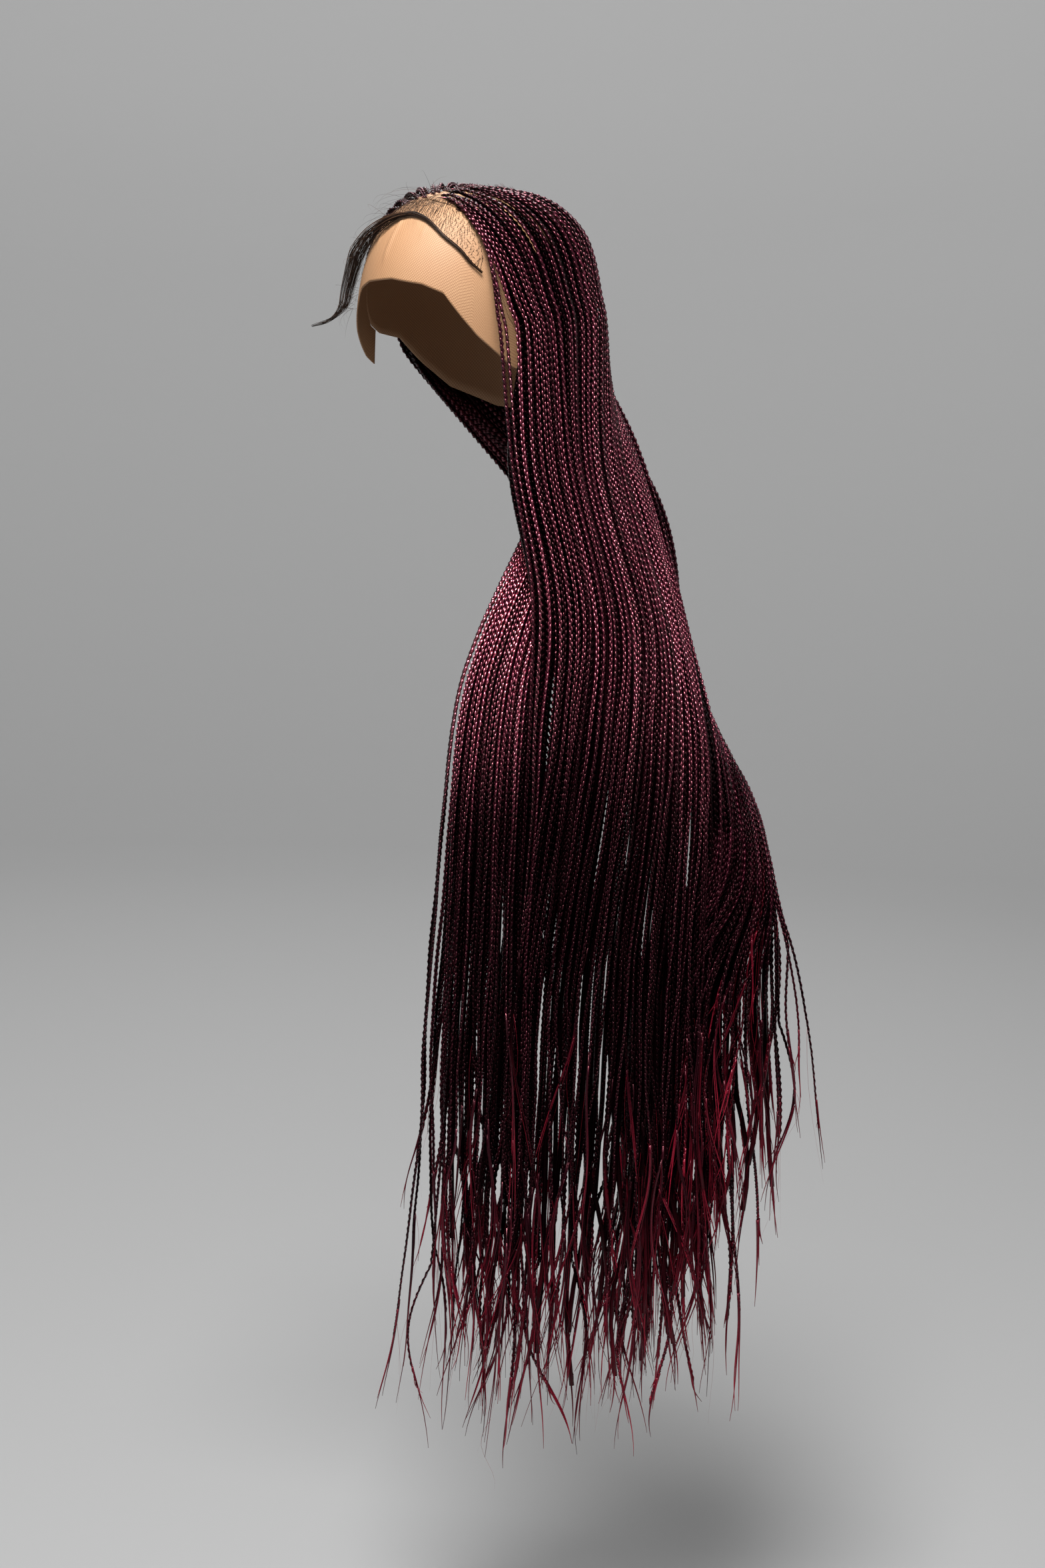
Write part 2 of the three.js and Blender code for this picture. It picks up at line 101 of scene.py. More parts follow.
def between(start: Array, end: Array, share: Array) -> Array:
    """Turn from one unit direction to another.

    Args:
        start: First direction.
        end: Last direction.
        share: Shares of the turn, 0 to 1.

    Returns:
        One unit direction for each share.
    """
    angle = math.acos(float(np.clip(np.dot(start, end), -1, 1)))
    share = np.asarray(share, float)[..., None]
    return unit(np.sin((1 - share) * angle) * start + np.sin(share * angle) * end)


def smooth_curve(points: Array, per_span: int) -> tuple[Array, Array]:
    """Run a smooth curve through points, close to even in speed.

    Args:
        points: Places that the curve passes, in order.
        per_span: Samples from each point to the next.

    Returns:
        The samples, and the number of the point that each one has reached, with its fraction.
    """
    ends = np.vstack([2 * points[0] - points[1], points, 2 * points[-1] - points[-2]])
    before, start, end, after = ends[:-3], ends[1:-2], ends[2:-1], ends[3:]
    gaps = np.sqrt(np.linalg.norm(np.diff(ends, axis=0), axis=1))[:, None]
    lead, span, trail = gaps[:-2], gaps[1:-1], gaps[2:]
    leave = ((start - before) / lead - (end - before) / (lead + span)) * span + (end - start)
    reach = (end - start) + ((after - end) / trail - (after - start) / (span + trail)) * span
    t = (np.arange(per_span) / per_span)[None, :, None]
    start, end, leave, reach = (side[:, None] for side in (start, end, leave, reach))
    spans = (
        (2 * t**3 - 3 * t**2 + 1) * start
        + (t**3 - 2 * t**2 + t) * leave
        + (3 * t**2 - 2 * t**3) * end
        + (t**3 - t**2) * reach
    )
    samples = np.vstack([spans.reshape(-1, points.shape[1]), points[-1:]])
    return samples, np.arange(len(samples)) / per_span


def lengths_along(points: Array) -> Array:
    """Measure the way along a line from its start to each of its points."""
    return np.concatenate([[0], np.cumsum(np.linalg.norm(np.diff(points, axis=0), axis=1))])


def columns_at(at: Array, places: Array, rows: Array) -> Array:
    """Read every column of a table between its rows.

    Args:
        at: Where to read.
        places: The rows' own places, rising.
        rows: The table.

    Returns:
        One row for each place read.
    """
    return np.stack([np.interp(at, places, column) for column in rows.T], axis=-1)


def set_inputs(tree: NodeTree, node: Node, inputs: dict) -> None:
    """Link or set a node's inputs.

    Args:
        tree: Node tree that holds the node.
        node: The node.
        inputs: Values or sockets, by the name or number of the input they go to.
    """
    for name, value in inputs.items():
        if isinstance(value, NodeSocket):
            tree.links.new(value, node.inputs[name])
        else:
            node.inputs[name].default_value = value


def add_node(tree: NodeTree, kind: str, inputs: dict | None = None, **settings) -> Node:
    """Add a shader node.

    Args:
        tree: Node tree that takes the node.
        kind: Blender's name of the node type.
        inputs: Values or sockets, by the name or number of the input they go to.
        **settings: The node's own properties.

    Returns:
        The new node.
    """
    node = tree.nodes.new(kind)
    for name, value in settings.items():
        setattr(node, name, value)
    set_inputs(tree, node, inputs or {})
    return node


def new_material(name: str) -> tuple[Material, NodeTree, Node]:
    """Make an empty material.

    Args:
        name: What the real material is.

    Returns:
        The material, its node tree and its surface shader.
    """
    material = bpy.data.materials.new(name)
    material.use_nodes = True
    tree = material.node_tree
    return material, tree, tree.nodes["Principled BSDF"]


def new_object(name: str, data: ID) -> Object:
    """Put an object at the origin of the scene.

    Args:
        name: Its name.
        data: Its mesh, light or camera.

    Returns:
        The object.
    """
    made = bpy.data.objects.new(name, data)
    bpy.context.scene.collection.objects.link(made)
    return made


def smooth_object(name: str, shape: bmesh.types.BMesh, material: Material) -> Object:
    """Make a smooth-shaded object at the origin.

    Args:
        name: Its name.
        shape: Its finished bmesh, which is freed.
        material: Its finish.

    Returns:
        The object.
    """
    for face in shape.faces:
        face.smooth = True
    mesh = bpy.data.meshes.new(name)
    shape.to_mesh(mesh)
    shape.free()
    mesh.materials.append(material)
    return new_object(name, mesh)


@dataclass(frozen=True)
class HairFinish:
    """Synthetic braiding hair: smooth fibres in glossy bundles, dyed in two tones.

    The fibres give fine streaks along each bundle. The tone attribute carries painted shade and light in its
    colour, and in its alpha a painted gloss strength that peaks where a bundle faces out of the hair, giving
    each bundle a bright line of gloss on its crown.
    """

    name: str
    roughness: float = 0.24
    ior: float = 1.85
    gloss: float = 1.4
    gloss_tint: str = "f0929f"
    sheen: float = 0.012
    sheen_roughness: float = 0.4
    sheen_tint: str = "c8788c"
    fibre_mm: float = 0.35  # a real fibre is 0.05 mm: drawn as bundles so that it shows
    slim: float = 0.06  # width of a streak to its length
    streak: float = 0.45
    bump: float = 0.25

    def material(self) -> Material:
        """Build the material from the tone attribute and streaks along the fibres.

        Returns:
            The material.
        """
        material, tree, shader = new_material(self.name)
        # The tone attribute holds each vertex's colour with painted shade and light, and in its alpha a
        # painted gloss strength
        tone = add_node(tree, "ShaderNodeAttribute", attribute_name=TONE)
        where = add_node(tree, "ShaderNodeUVMap", uv_map=FIBRE_MAP)
        scale = (1 / self.fibre_mm, self.slim / self.fibre_mm, 1)
        stretch = add_node(tree, "ShaderNodeMapping", {"Vector": where.outputs[0], "Scale": scale})
        streaks = add_node(
            tree,
            "ShaderNodeTexNoise",
            {"Vector": stretch.outputs[0], "Scale": 1.0, "Detail": 2.0},
            noise_dimensions="2D",
        )
        limits = {0: streaks.outputs[0], 1: 0.3, 2: 0.7, 3: 1 - self.streak, 4: 1.1}
        shade = add_node(tree, "ShaderNodeMapRange", limits)
        parts = {0: tone.outputs["Color"], 1: shade.outputs[0]}
        colour = add_node(tree, "ShaderNodeVectorMath", parts, operation="MULTIPLY")
        relief = {"Height": streaks.outputs[0], "Strength": self.bump, "Distance": self.fibre_mm * MM}
        bump = add_node(tree, "ShaderNodeBump", relief)
        # Gloss strength from the painted alpha: low where shade is painted, high where a bundle faces out of
        # the hair
        parts = {0: tone.outputs["Alpha"], 1: self.gloss}
        gloss = add_node(tree, "ShaderNodeMath", parts, operation="MULTIPLY")
        surface = {
            "Base Color": colour.outputs[0],
            "Specular IOR Level": gloss.outputs[0],
            "Normal": bump.outputs[0],
            "Roughness": self.roughness,
            "IOR": self.ior,
            "Specular Tint": linear(self.gloss_tint),
            "Sheen Weight": self.sheen,
            "Sheen Roughness": self.sheen_roughness,
            "Sheen Tint": linear(self.sheen_tint),
        }
        set_inputs(tree, shader, surface)
        return material


@dataclass(frozen=True)
class LaceFinish:
    """Hair lace: a knitted net of fine monofilament, tinted to the skin.

    It reads as a matt skin-toned sheet with a fine diagonal net and a slightly uneven tint.
    """

    name: str
    ground: str = "b28c68"
    flush: str = "a67a57"
    thread: str = "8c6646"
    roughness: float = 0.62
    ior: float = 1.45
    mesh_mm: float = 1.5  # the real net is about 0.7 mm: drawn coarser so that it shows
    thread_mm: float = 0.2
    tint_mm: float = 32.0

    def material(self) -> Material:
        """Build the material from a net laid along the sheet.

        Returns:
            The material.
        """
        material, tree, shader = new_material(self.name)
        where = add_node(tree, "ShaderNodeUVMap", uv_map=NET_MAP)
        laid = {
            "Vector": where.outputs[0],
            "Rotation": (0, 0, math.radians(45)),
            "Scale": (1 / self.mesh_mm, 1 / self.mesh_mm, 1),
        }
        turned = add_node(tree, "ShaderNodeMapping", laid)
        net = add_node(
            tree,
            "ShaderNodeTexVoronoi",
            {"Vector": turned.outputs[0], "Scale": 1.0, "Randomness": 0.12},
            voronoi_dimensions="2D",
            feature="DISTANCE_TO_EDGE",
        )
        limits = {0: net.outputs["Distance"], 1: 0.05, 2: 0.2, 3: 1.0, 4: 0.0}
        threads = add_node(tree, "ShaderNodeMapRange", limits)
        place = add_node(tree, "ShaderNodeTexCoord")
        patches = {"Vector": place.outputs["Object"], "Scale": 1 / (self.tint_mm * MM), "Detail": 3.0}
        uneven = add_node(tree, "ShaderNodeTexNoise", patches)
        tints = {0: uneven.outputs[0], 6: linear(self.ground), 7: linear(self.flush)}
        skin = add_node(tree, "ShaderNodeMix", tints, data_type="RGBA")
        tints = {0: threads.outputs[0], 6: skin.outputs[2], 7: linear(self.thread)}
        base = add_node(tree, "ShaderNodeMix", tints, data_type="RGBA")
        relief = {"Height": threads.outputs[0], "Strength": 0.3, "Distance": self.thread_mm * MM}
        bump = add_node(tree, "ShaderNodeBump", relief)
        surface = {
            "Base Color": base.outputs[2],
            "Normal": bump.outputs[0],
            "Roughness": self.roughness,
            "IOR": self.ior,
        }
        set_inputs(tree, shader, surface)
        return material


@dataclass(frozen=True)
class HeadForm:
    """The head that the cap is shaped on: an ellipse in plan, squarer than an ellipse in profile."""

    half_width: float = 78.0
    half_length: float = 99.0
    crown_rise: float = 118.0
    nape_fall: float = 150.0
    fullness: float = 2.7

    def direction(self, azimuth: Array, drop: Array) -> Array:
        """Find the way from the middle of the head to a place on it.

        Args:
            azimuth: Degrees round from the face towards the wearer's left.
            drop: How far the place is below the crown.

        Returns:
            Unit directions.
        """
        turn, drop = np.broadcast_arrays(np.radians(azimuth), np.asarray(drop, float))
        height = (self.crown_rise - drop) / np.where(drop > self.crown_rise, self.nape_fall, self.crown_rise)
        reach = np.power(1 - np.abs(height) ** self.fullness, 1 / self.fullness)
        return unit(np.stack([reach * np.sin(turn), -reach * np.cos(turn), height], axis=-1))

    def above(self, x: float, y: float) -> Array:
        """Find the way from the middle of the head to a place on top of it.

        Args:
            x: Where the place lies in plan, to the wearer's left.
            y: Where it lies in plan, to the back.

        Returns:
            Its unit direction.
        """
        flat = np.array([x / self.half_width, y / self.half_length])
        height = (1 - np.linalg.norm(flat) ** self.fullness) ** (1 / self.fullness)
        return unit(np.array([flat[0], flat[1], height]))

    def lifted(self, direction: Array, lift: Array) -> tuple[Array, Array]:
        """Find places outside the head.

        Args:
            direction: Unit directions from the middle of the head.
            lift: How far outside the head form.

        Returns:
            The places, and the head's outward normals there.
        """
        flat = np.hypot(direction[..., 0], direction[..., 1]) + 1e-9
        rise = np.abs(direction[..., 2])
        fall = np.where(direction[..., 2] < 0, self.nape_fall, self.crown_rise)
        reach = (flat**self.fullness + rise**self.fullness) ** (-1 / self.fullness)
        half = np.stack([np.full_like(fall, self.half_width), np.full_like(fall, self.half_length), fall], -1)
        place = half * reach[..., None] * direction - np.array([0, 0, self.crown_rise])
        weight = np.stack([flat, flat, rise], -1) ** (self.fullness - 2)
        normal = unit(weight * direction / half)
        return place + normal * np.asarray(lift, float)[..., None], normal


@dataclass(frozen=True)
class Curtain:
    """The flat sheet that the hair hangs in, before the left shoulder."""

    x: float = 72.0
    y: float = -102.0
    heading: float = math.radians(38)
    top: float = -600.0
    middle: float = -792.0
    lowest: float = -1080.0

    @property
    def line(self) -> Array:
        """The way the sheet runs, from its front edge to its back edge."""
        return np.array([math.cos(self.heading), math.sin(self.heading), 0.0])

    @property
    def face(self) -> Array:
        """The way the sheet's outer side faces."""
        return np.array([math.sin(self.heading), -math.cos(self.heading), 0.0])

    def place(self, along: float, behind: float, level: float) -> Array:
        """Find a place in the sheet."""
        return np.array([self.x, self.y, level]) + along * self.line - behind * self.face

    def along(self, place: Array) -> Array:
        """Find how far along the sheet places lie."""
        return (place - np.array([self.x, self.y, 0.0])) @ self.line


HEAD = HeadForm()
CURTAIN = Curtain()
CAP_WALL = 1.2
SEAT = 2.8

# Edge of the cap on one side, as azimuth and drop
CAP_EDGE = (
    *((0, 8), (25, 11), (40, 16), (47, 21), (53, 38), (59, 64), (65, 92)),
    *((71, 105), (80, 112), (95, 116), (108, 134), (125, 154), (150, 168), (180, 172)),
)

# Front edge of the lace on one side, as azimuth and drop
LACE_EDGE = ((0, 68), (20, 71), (32, 77), (41, 93), (50, 108), (59, 119), (68, 130), (76, 136))

# The lock laid along the hairline, as azimuth, drop, clearance above the head, width and thickness
HAIRLINE_LOCK = np.array(
    [
        *((51, 61, 1.9, 3.5, 2), (43, 51, 1.9, 4, 2.2), (32, 38, 1.9, 4, 2.2), (20, 28, 1.9, 4.5, 2.4)),
        *((8, 22, 1.9, 6, 2.6), (-4, 21, 1.9, 8, 3), (-18, 26, 1.9, 10, 3.2), (-31, 37, 2, 13, 3.6)),
        *((-42, 53, 2.2, 14, 4), (-47, 74, 4, 12, 4), (-47, 92, 8, 8, 3.4), (-46, 102, 20, 5, 2.6)),
        (-44, 107, 34, 2.5, 1.8),
    ],
    float,
)


def drop_at(edge: tuple[Pair, ...], azimuth: float) -> float:
    """Read how far below the crown an edge lies at an azimuth on either side."""
    return float(np.interp(abs(azimuth), *zip(*edge)))


@dataclass(frozen=True)
class Rail:
    """What a braid passes at one edge of its group.

    Rows of via are x, y, z and the way the outside faces. Hung is where the braid hangs along the curtain and
    behind its face, and how far along it has flared at the middle of the curtain and at its lowest.
    """

    via: Table
    hung: tuple[float, float, float, float]


@dataclass(frozen=True)
class RootRow:
    """A row of roots.

    Its start is a share of the way from the first roots to where the hair leaves the head. Its layer is
    0 for the outermost braids. Its slip staggers its braids by a share of their spacing.
    """

    start: float
    count: int
    layer: int
    slip: float


@dataclass(frozen=True)
class Dressing:
    """One group of braids: where they are rooted, leave the head, pass and hang.

    Rows of roots are x and y. Rows of hang are share, azimuth, drop and the thickness of the hair there.
    A share goes across the group, from 0 at its first rail to 1 at its last.
    """

    node: str
    roots: tuple[Pair, ...]
    hang: Table
    rails: tuple[Rail, ...]
    rows: tuple[RootRow, ...]
    fall_thick: float  # thickness of the hair as it hangs
    length: float
    first_share: float = 0.0  # share of the root line that other braids take
    via_shares: Pair = (0.0, 1.0)  # spread over the shoulder
    hung_shares: Pair = (0.0, 1.0)  # spread as the hair hangs
    inner_parts: Pair = (0.0, 1.0)  # spread of the inner layers within those
    width: float = 4.4
    edge_thin: float = 1.0  # power that thins the hair towards its first rail
    edge_short: float = 0.0  # how much shorter the hair is at its first rail
    loose: Pair = (50, 160)  # shortest and longest loose end
    gain: float = 1.0  # light on the hair above the curtain
    rise_loss: float = 0.0  # share of that light lost where the hair faces up
    rise_dull: float = 0.0  # share of the gloss lost there
    under: float = 1.0  # light on the second row of roots where it hangs under the first
    root_lift: float = 0.0  # how far a braid arches off the cap beyond its root

    def rail_weights(self, share: float) -> Array:
        """Weigh the rails: on a line between two, or on a parabola through three.

        Args:
            share: Place across the group.

        Returns:
            A weight for each rail.
        """
        if len(self.rails) == 2:
            return np.array([1 - share, share])
        return np.array(
            [2 * (share - 0.5) * (share - 1), -4 * share * (share - 1), 2 * share * (share - 0.5)]
        )

    def root_direction(self, share: float) -> Array:
        """Find the way to a place on the root line.

        Args:
            share: Share of the line's length in plan.

        Returns:
            Its unit direction from the middle of the head.
        """
        line = np.array(self.roots, float)
        run = lengths_along(line)
        spot = columns_at(np.array([share * run[-1]]), run, line)[0]
        return HEAD.above(spot[0], spot[1])

    @property
    def layers(self) -> int:
        """How many layers of braids the hair is thick."""
        return self.rows[-1].layer + 1

    def depth(self, row: int) -> float:
        """Place a row in the thickness of the hair: 1 is outermost and -1 innermost."""
        return 1 - 2 * self.rows[row].layer / (self.layers - 1)

    def seat(self, share: float, row: int) -> Array:
        """Lay a braid on the head, up to a little before the hair leaves it, so that it leaves in a curve.

        Args:
            share: Its place across the group.
            row: Its row of roots.

        Returns:
            Rows of place and outward way, from the root on.
        """
        points, left_out = 14, 2
        sink, sunk_share = 1.4, 0.08
        early, climb_share, arch_share = 0.03, 0.26, 0.35
        table = np.array(self.hang, float)
        azimuth, drop, thick = columns_at(np.array([share]), table[:, 0], table[:, 1:])[0]
        reach = np.linspace(self.rows[row].start, 1, points)[:-left_out]
        direction = between(self.root_direction(share), HEAD.direction(azimuth, drop), reach)
        cover = CAP_WALL + self.width / 2
        step = (SEAT + thick - self.width / 2 - cover) / (self.layers - 1)
        lift = cover - sink * (1 - eased((reach - reach[0]) / sunk_share))
        for beneath in range(self.rows[row].layer + 1, self.layers):
            start = min(other.start for other in self.rows if other.layer == beneath)
            lift += step * eased((reach - start + early) / climb_share)
        lift += self.root_lift * np.sin(math.pi * np.clip((reach - reach[0]) / arch_share, 0, 1))
        return np.hstack(HEAD.lifted(direction, lift))

    def control(self, share: float, via_share: float, hung_share: float, row: int) -> Array:
        """List what a braid passes.

        Args:
            share: Its place across the group on the head.
            via_share: Its place across the group over the shoulder.
            hung_share: Its place across the group as it hangs.
            row: Its row of roots.

        Returns:
            Rows of place and outward way, from its root to below its tip.
        """
        passed = np.array([rail.via for rail in self.rails], float)
        via = np.tensordot(self.rail_weights(via_share), passed, 1)
        hung = np.array([rail.hung for rail in self.rails])
        along, behind, middle, tip = self.rail_weights(hung_share) @ hung
        flares = ((0.0, CURTAIN.top), (middle, CURTAIN.middle), (tip, CURTAIN.lowest))
        places = [CURTAIN.place(along + flare, behind, level) for flare, level in flares]
        fall = np.vstack([via, *(np.append(place, CURTAIN.face) for place in places)])
        fall[:, 3:] = unit(fall[:, 3:])
        fall[:, :3] += fall[:, 3:] * self.depth(row) * (self.fall_thick - self.width) / 2
        return np.vstack([self.seat(share, row), fall])


@dataclass(frozen=True)
class NapeDressing(Dressing):
    """Braids rooted low on the cap. Rows of roots are azimuth and drop at each end of the group."""

    rooted_mm: float = 22.0  # height of the band of roots
    past_mm: float = 7.0  # how far the hair stays on the head past the drop of the roots
    leave_lift: Pair = (2.6, 1.2)  # lift where it leaves the head, and its spread in depth

    def seat(self, share: float, row: int) -> Array:
        """Lay a braid on the lowest part of the head.

        Args:
            share: Its place across the group.
            row: Its row of roots.

        Returns:
            Rows of place and outward way, from the root to where it leaves the head.
        """
        points = 4
        (first, drop), (last, _) = self.roots
        azimuth = first + (last - first) * share
        end = drop + self.past_mm
        drops = np.linspace(end - self.rooted_mm * (1 - self.rows[row].start), end, points)
        lift, spread = self.leave_lift
        lifts = np.linspace(CAP_WALL + self.width / 2, SEAT + lift + spread * self.depth(row), points)
        return np.hstack(HEAD.lifted(HEAD.direction(np.full(points, azimuth), drops), lifts))


NEAR = Dressing(
    node="braids_near",
    roots=((40, -45), (22, -49), (6.6, -48), (6.6, 40)),
    hang=((0, 58, 118, 15), (0.2, 71, 118, 15), (0.4, 86, 118, 18), (1, 178, 120, 24)),
    rails=(
        Rail(
            via=(
                (87, -52, -200, 0.75, -0.65, 0.1),
                (117, -56, -300, 0.65, -0.75, 0.15),
                (122, -61, -400, 0.6, -0.8, 0),
            ),
            hung=(60, 0, -2, -8),
        ),
        Rail(
            via=(
                (112, 14, -205, 1, 0.05, 0.2),
                (161, 6, -325, 0.85, -0.2, 0.5),
                (178, -14, -410, 0.7, -0.7, 0.2),
            ),
            hung=(128, -2, 0, 2),
        ),
        Rail(
            via=(
                (83, 102, -195, 0.5, 0.85, 0.15),
                (166, 73, -346, 0.8, 0.3, 0.5),
                (208, 48, -430, 0.8, -0.3, 0.5),
            ),
            hung=(204, 12, 4, 6),
        ),
    ),
    rows=(
        RootRow(0.0, 13, 0, -0.25),
        RootRow(0.11, 13, 0, 0.25),
        RootRow(0.18, 14, 1, 0.0),
        RootRow(0.27, 14, 1, 0.5),
        RootRow(0.34, 21, 2, -0.25),
        RootRow(0.5, 21, 2, 0.25),
        RootRow(0.74, 34, 3, 0.0),
    ),
    fall_thick=13,
    length=1010,
    first_share=0.235,
    via_shares=(0.1, 1.04),
    hung_shares=(0.02, 1.04),
    inner_parts=(-0.12, 1.13),
    root_lift=0.8,
    rise_loss=-0.45,
)

FAR = Dressing(
    node="braids_far",
    roots=((-60, -48), (-52, -50), (-38, -48), (-22, -49), (-6.6, -48), (-6.6, 40), (3, 62)),
    hang=((0, -112, 146, 15), (0.26, -134, 172, 15), (0.84, -180, 178, 15), (1, -192, 168, 15)),
    rails=(
        Rail(
            via=(
                (-36, 112, -234, -0.4, 0.9, 0),
                (20, 130, -296, 0, 1, 0.1),
                (78, 139, -368, 0.25, 0.9, 0.35),
                (169, 125, -434, 0.4, 0.5, 0.75),
                (210, 114, -474, 0.55, 0.1, 0.8),
                (256, 82, -530, 0.65, -0.6, 0.5),
            ),
            hung=(278, 6, 15, 37),
        ),
        Rail(
            via=(
                (36, 119, -210, 0, 1, 0),
                (70, 124, -246, 0.15, 1, 0.1),
                (107, 119, -300, 0.35, 0.85, 0.3),
                (147, 107, -376, 0.5, 0.5, 0.7),
                (196, 85, -442, 0.6, 0, 0.8),
                (226, 54, -510, 0.65, -0.7, 0.3),
            ),
            hung=(209, 16, 6, 10),
        ),
    ),
    rows=(
        RootRow(0.0, 20, 0, -0.25),
        RootRow(0.08, 20, 0, 0.25),
        RootRow(0.13, 20, 1, 0.0),
        RootRow(0.2, 20, 1, 0.5),
        RootRow(0.34, 20, 2, -0.25),
        RootRow(0.5, 20, 2, 0.25),
        RootRow(0.72, 26, 3, 0.0),
    ),
    fall_thick=18,
    length=1025,
    via_shares=(0.0, 1.4),
    hung_shares=(0.0, 1.8),
    inner_parts=(0.02, 1.04),
    edge_thin=0.62,
    edge_short=95,
    loose=(35, 110),
    rise_loss=-0.4,
    rise_dull=0.7,
    under=0.25,
    root_lift=3.0,
)

NAPE = NapeDressing(
    node="braids_nape",
    roots=((120, 146), (148, 146)),
    hang=(),
    rails=(
        Rail(
            via=(
                (73, -7, -252, 0.9, -0.4, 0.1),
                (83, -50, -295, 0.7, -0.6, 0.4),
                (84, -77, -335, 0.6, -0.7, 0.4),
                (82, -95, -383, 0.6, -0.78, 0.2),
            ),
            hung=(1, -6, 1, 22),
        ),
        Rail(
            via=(
                (80, 30, -240, 0.95, 0.1, 0.1),
                (100, -18, -285, 0.8, -0.5, 0.4),
                (107, -48, -328, 0.6, -0.7, 0.4),
                (109, -67, -380, 0.6, -0.78, 0.2),
            ),
            hung=(53, -6, -1, -4),
        ),
    ),
    rows=(
        RootRow(0.0, 13, 0, -0.25),
        RootRow(0.35, 13, 1, 0.25),
        RootRow(0.7, 13, 2, 0.0),
        RootRow(0.9, 13, 3, 0.5),
    ),
    fall_thick=13,
    length=890,
    via_shares=(0.0, 1.3),
    hung_shares=(0.0, 1.16),
    inner_parts=(0.04, 1.3),
    gain=2.9,
)


@dataclass(frozen=True)
class Shape:
    """Triangles of a small closed shape, and the map of their corners from 0 to 1."""

    triangles: Array
    map: Array

    @classmethod
    def lobe(cls, sides: int) -> Shape:
        """Describe a spindle: a tip, a ring and a tip.

        Args:
            sides: Points of the ring.

        Returns:
            The shape.
        """
        triangles, spread = [], []
        for i in range(sides):
            after = (i + 1) % sides
            left, mid, right = i / sides, (i + 0.5) / sides, (i + 1) / sides
            triangles += [(0, 1 + i, 1 + after), (sides + 1, 1 + after, 1 + i)]
            spread.append(((mid, 0), (left, 0.5), (right, 0.5)))
            spread.append(((mid, 1), (right, 0.5), (left, 0.5)))
        return cls(np.array(triangles), np.array(spread, float))

    @classmethod
    def tube(cls, rings: int, sides: int) -> Shape:
        """Describe a round tube closed at both ends.

        Args:
            rings: Rings along the tube.
            sides: Points of a ring.

        Returns:
            The shape.
        """
        triangles, spread = [], []
        for r in range(rings - 1):
            top, low = r / (rings - 1), (r + 1) / (rings - 1)
            for i in range(sides):
                left, right = i / sides, (i + 1) / sides
                a, b = r * sides + i, r * sides + (i + 1) % sides
                triangles += [(a, a + sides, b + sides), (a, b + sides, b)]
                spread.append(((left, top), (left, low), (right, low)))
                spread.append(((left, top), (right, low), (right, top)))
        end = (rings - 1) * sides
        for i in range(1, sides - 1):
            left, right = i / sides, (i + 1) / sides
            triangles += [(0, i, i + 1), (end, end + i + 1, end + i)]
            spread.append(((0, 0), (left, 0), (right, 0)))
            spread.append(((0, 1), (right, 1), (left, 1)))
        return cls(np.array(triangles), np.array(spread, float))


def round_tubes(lines: Array, radius: Array, outward: Array, sides: int) -> Array:
    """Wrap rings of points round lines.

    Args:
        lines: Points of each line.
        radius: Radius at each point.
        outward: A way that is nowhere along the lines.
        sides: Points of a ring.

    Returns:
        Vertices of each tube, ring by ring.
    """
    along = unit(np.gradient(lines, axis=1))
    across = unit(np.cross(np.broadcast_to(outward, lines.shape), along))
    out = np.cross(along, across)
    turn = np.arange(sides) * FULL_TURN / sides
    ring = across[:, :, None] * np.cos(turn)[:, None] + out[:, :, None] * np.sin(turn)[:, None]
    places = lines[:, :, None] + ring * radius[:, :, None, None]
    return places.reshape(len(lines), -1, 3)


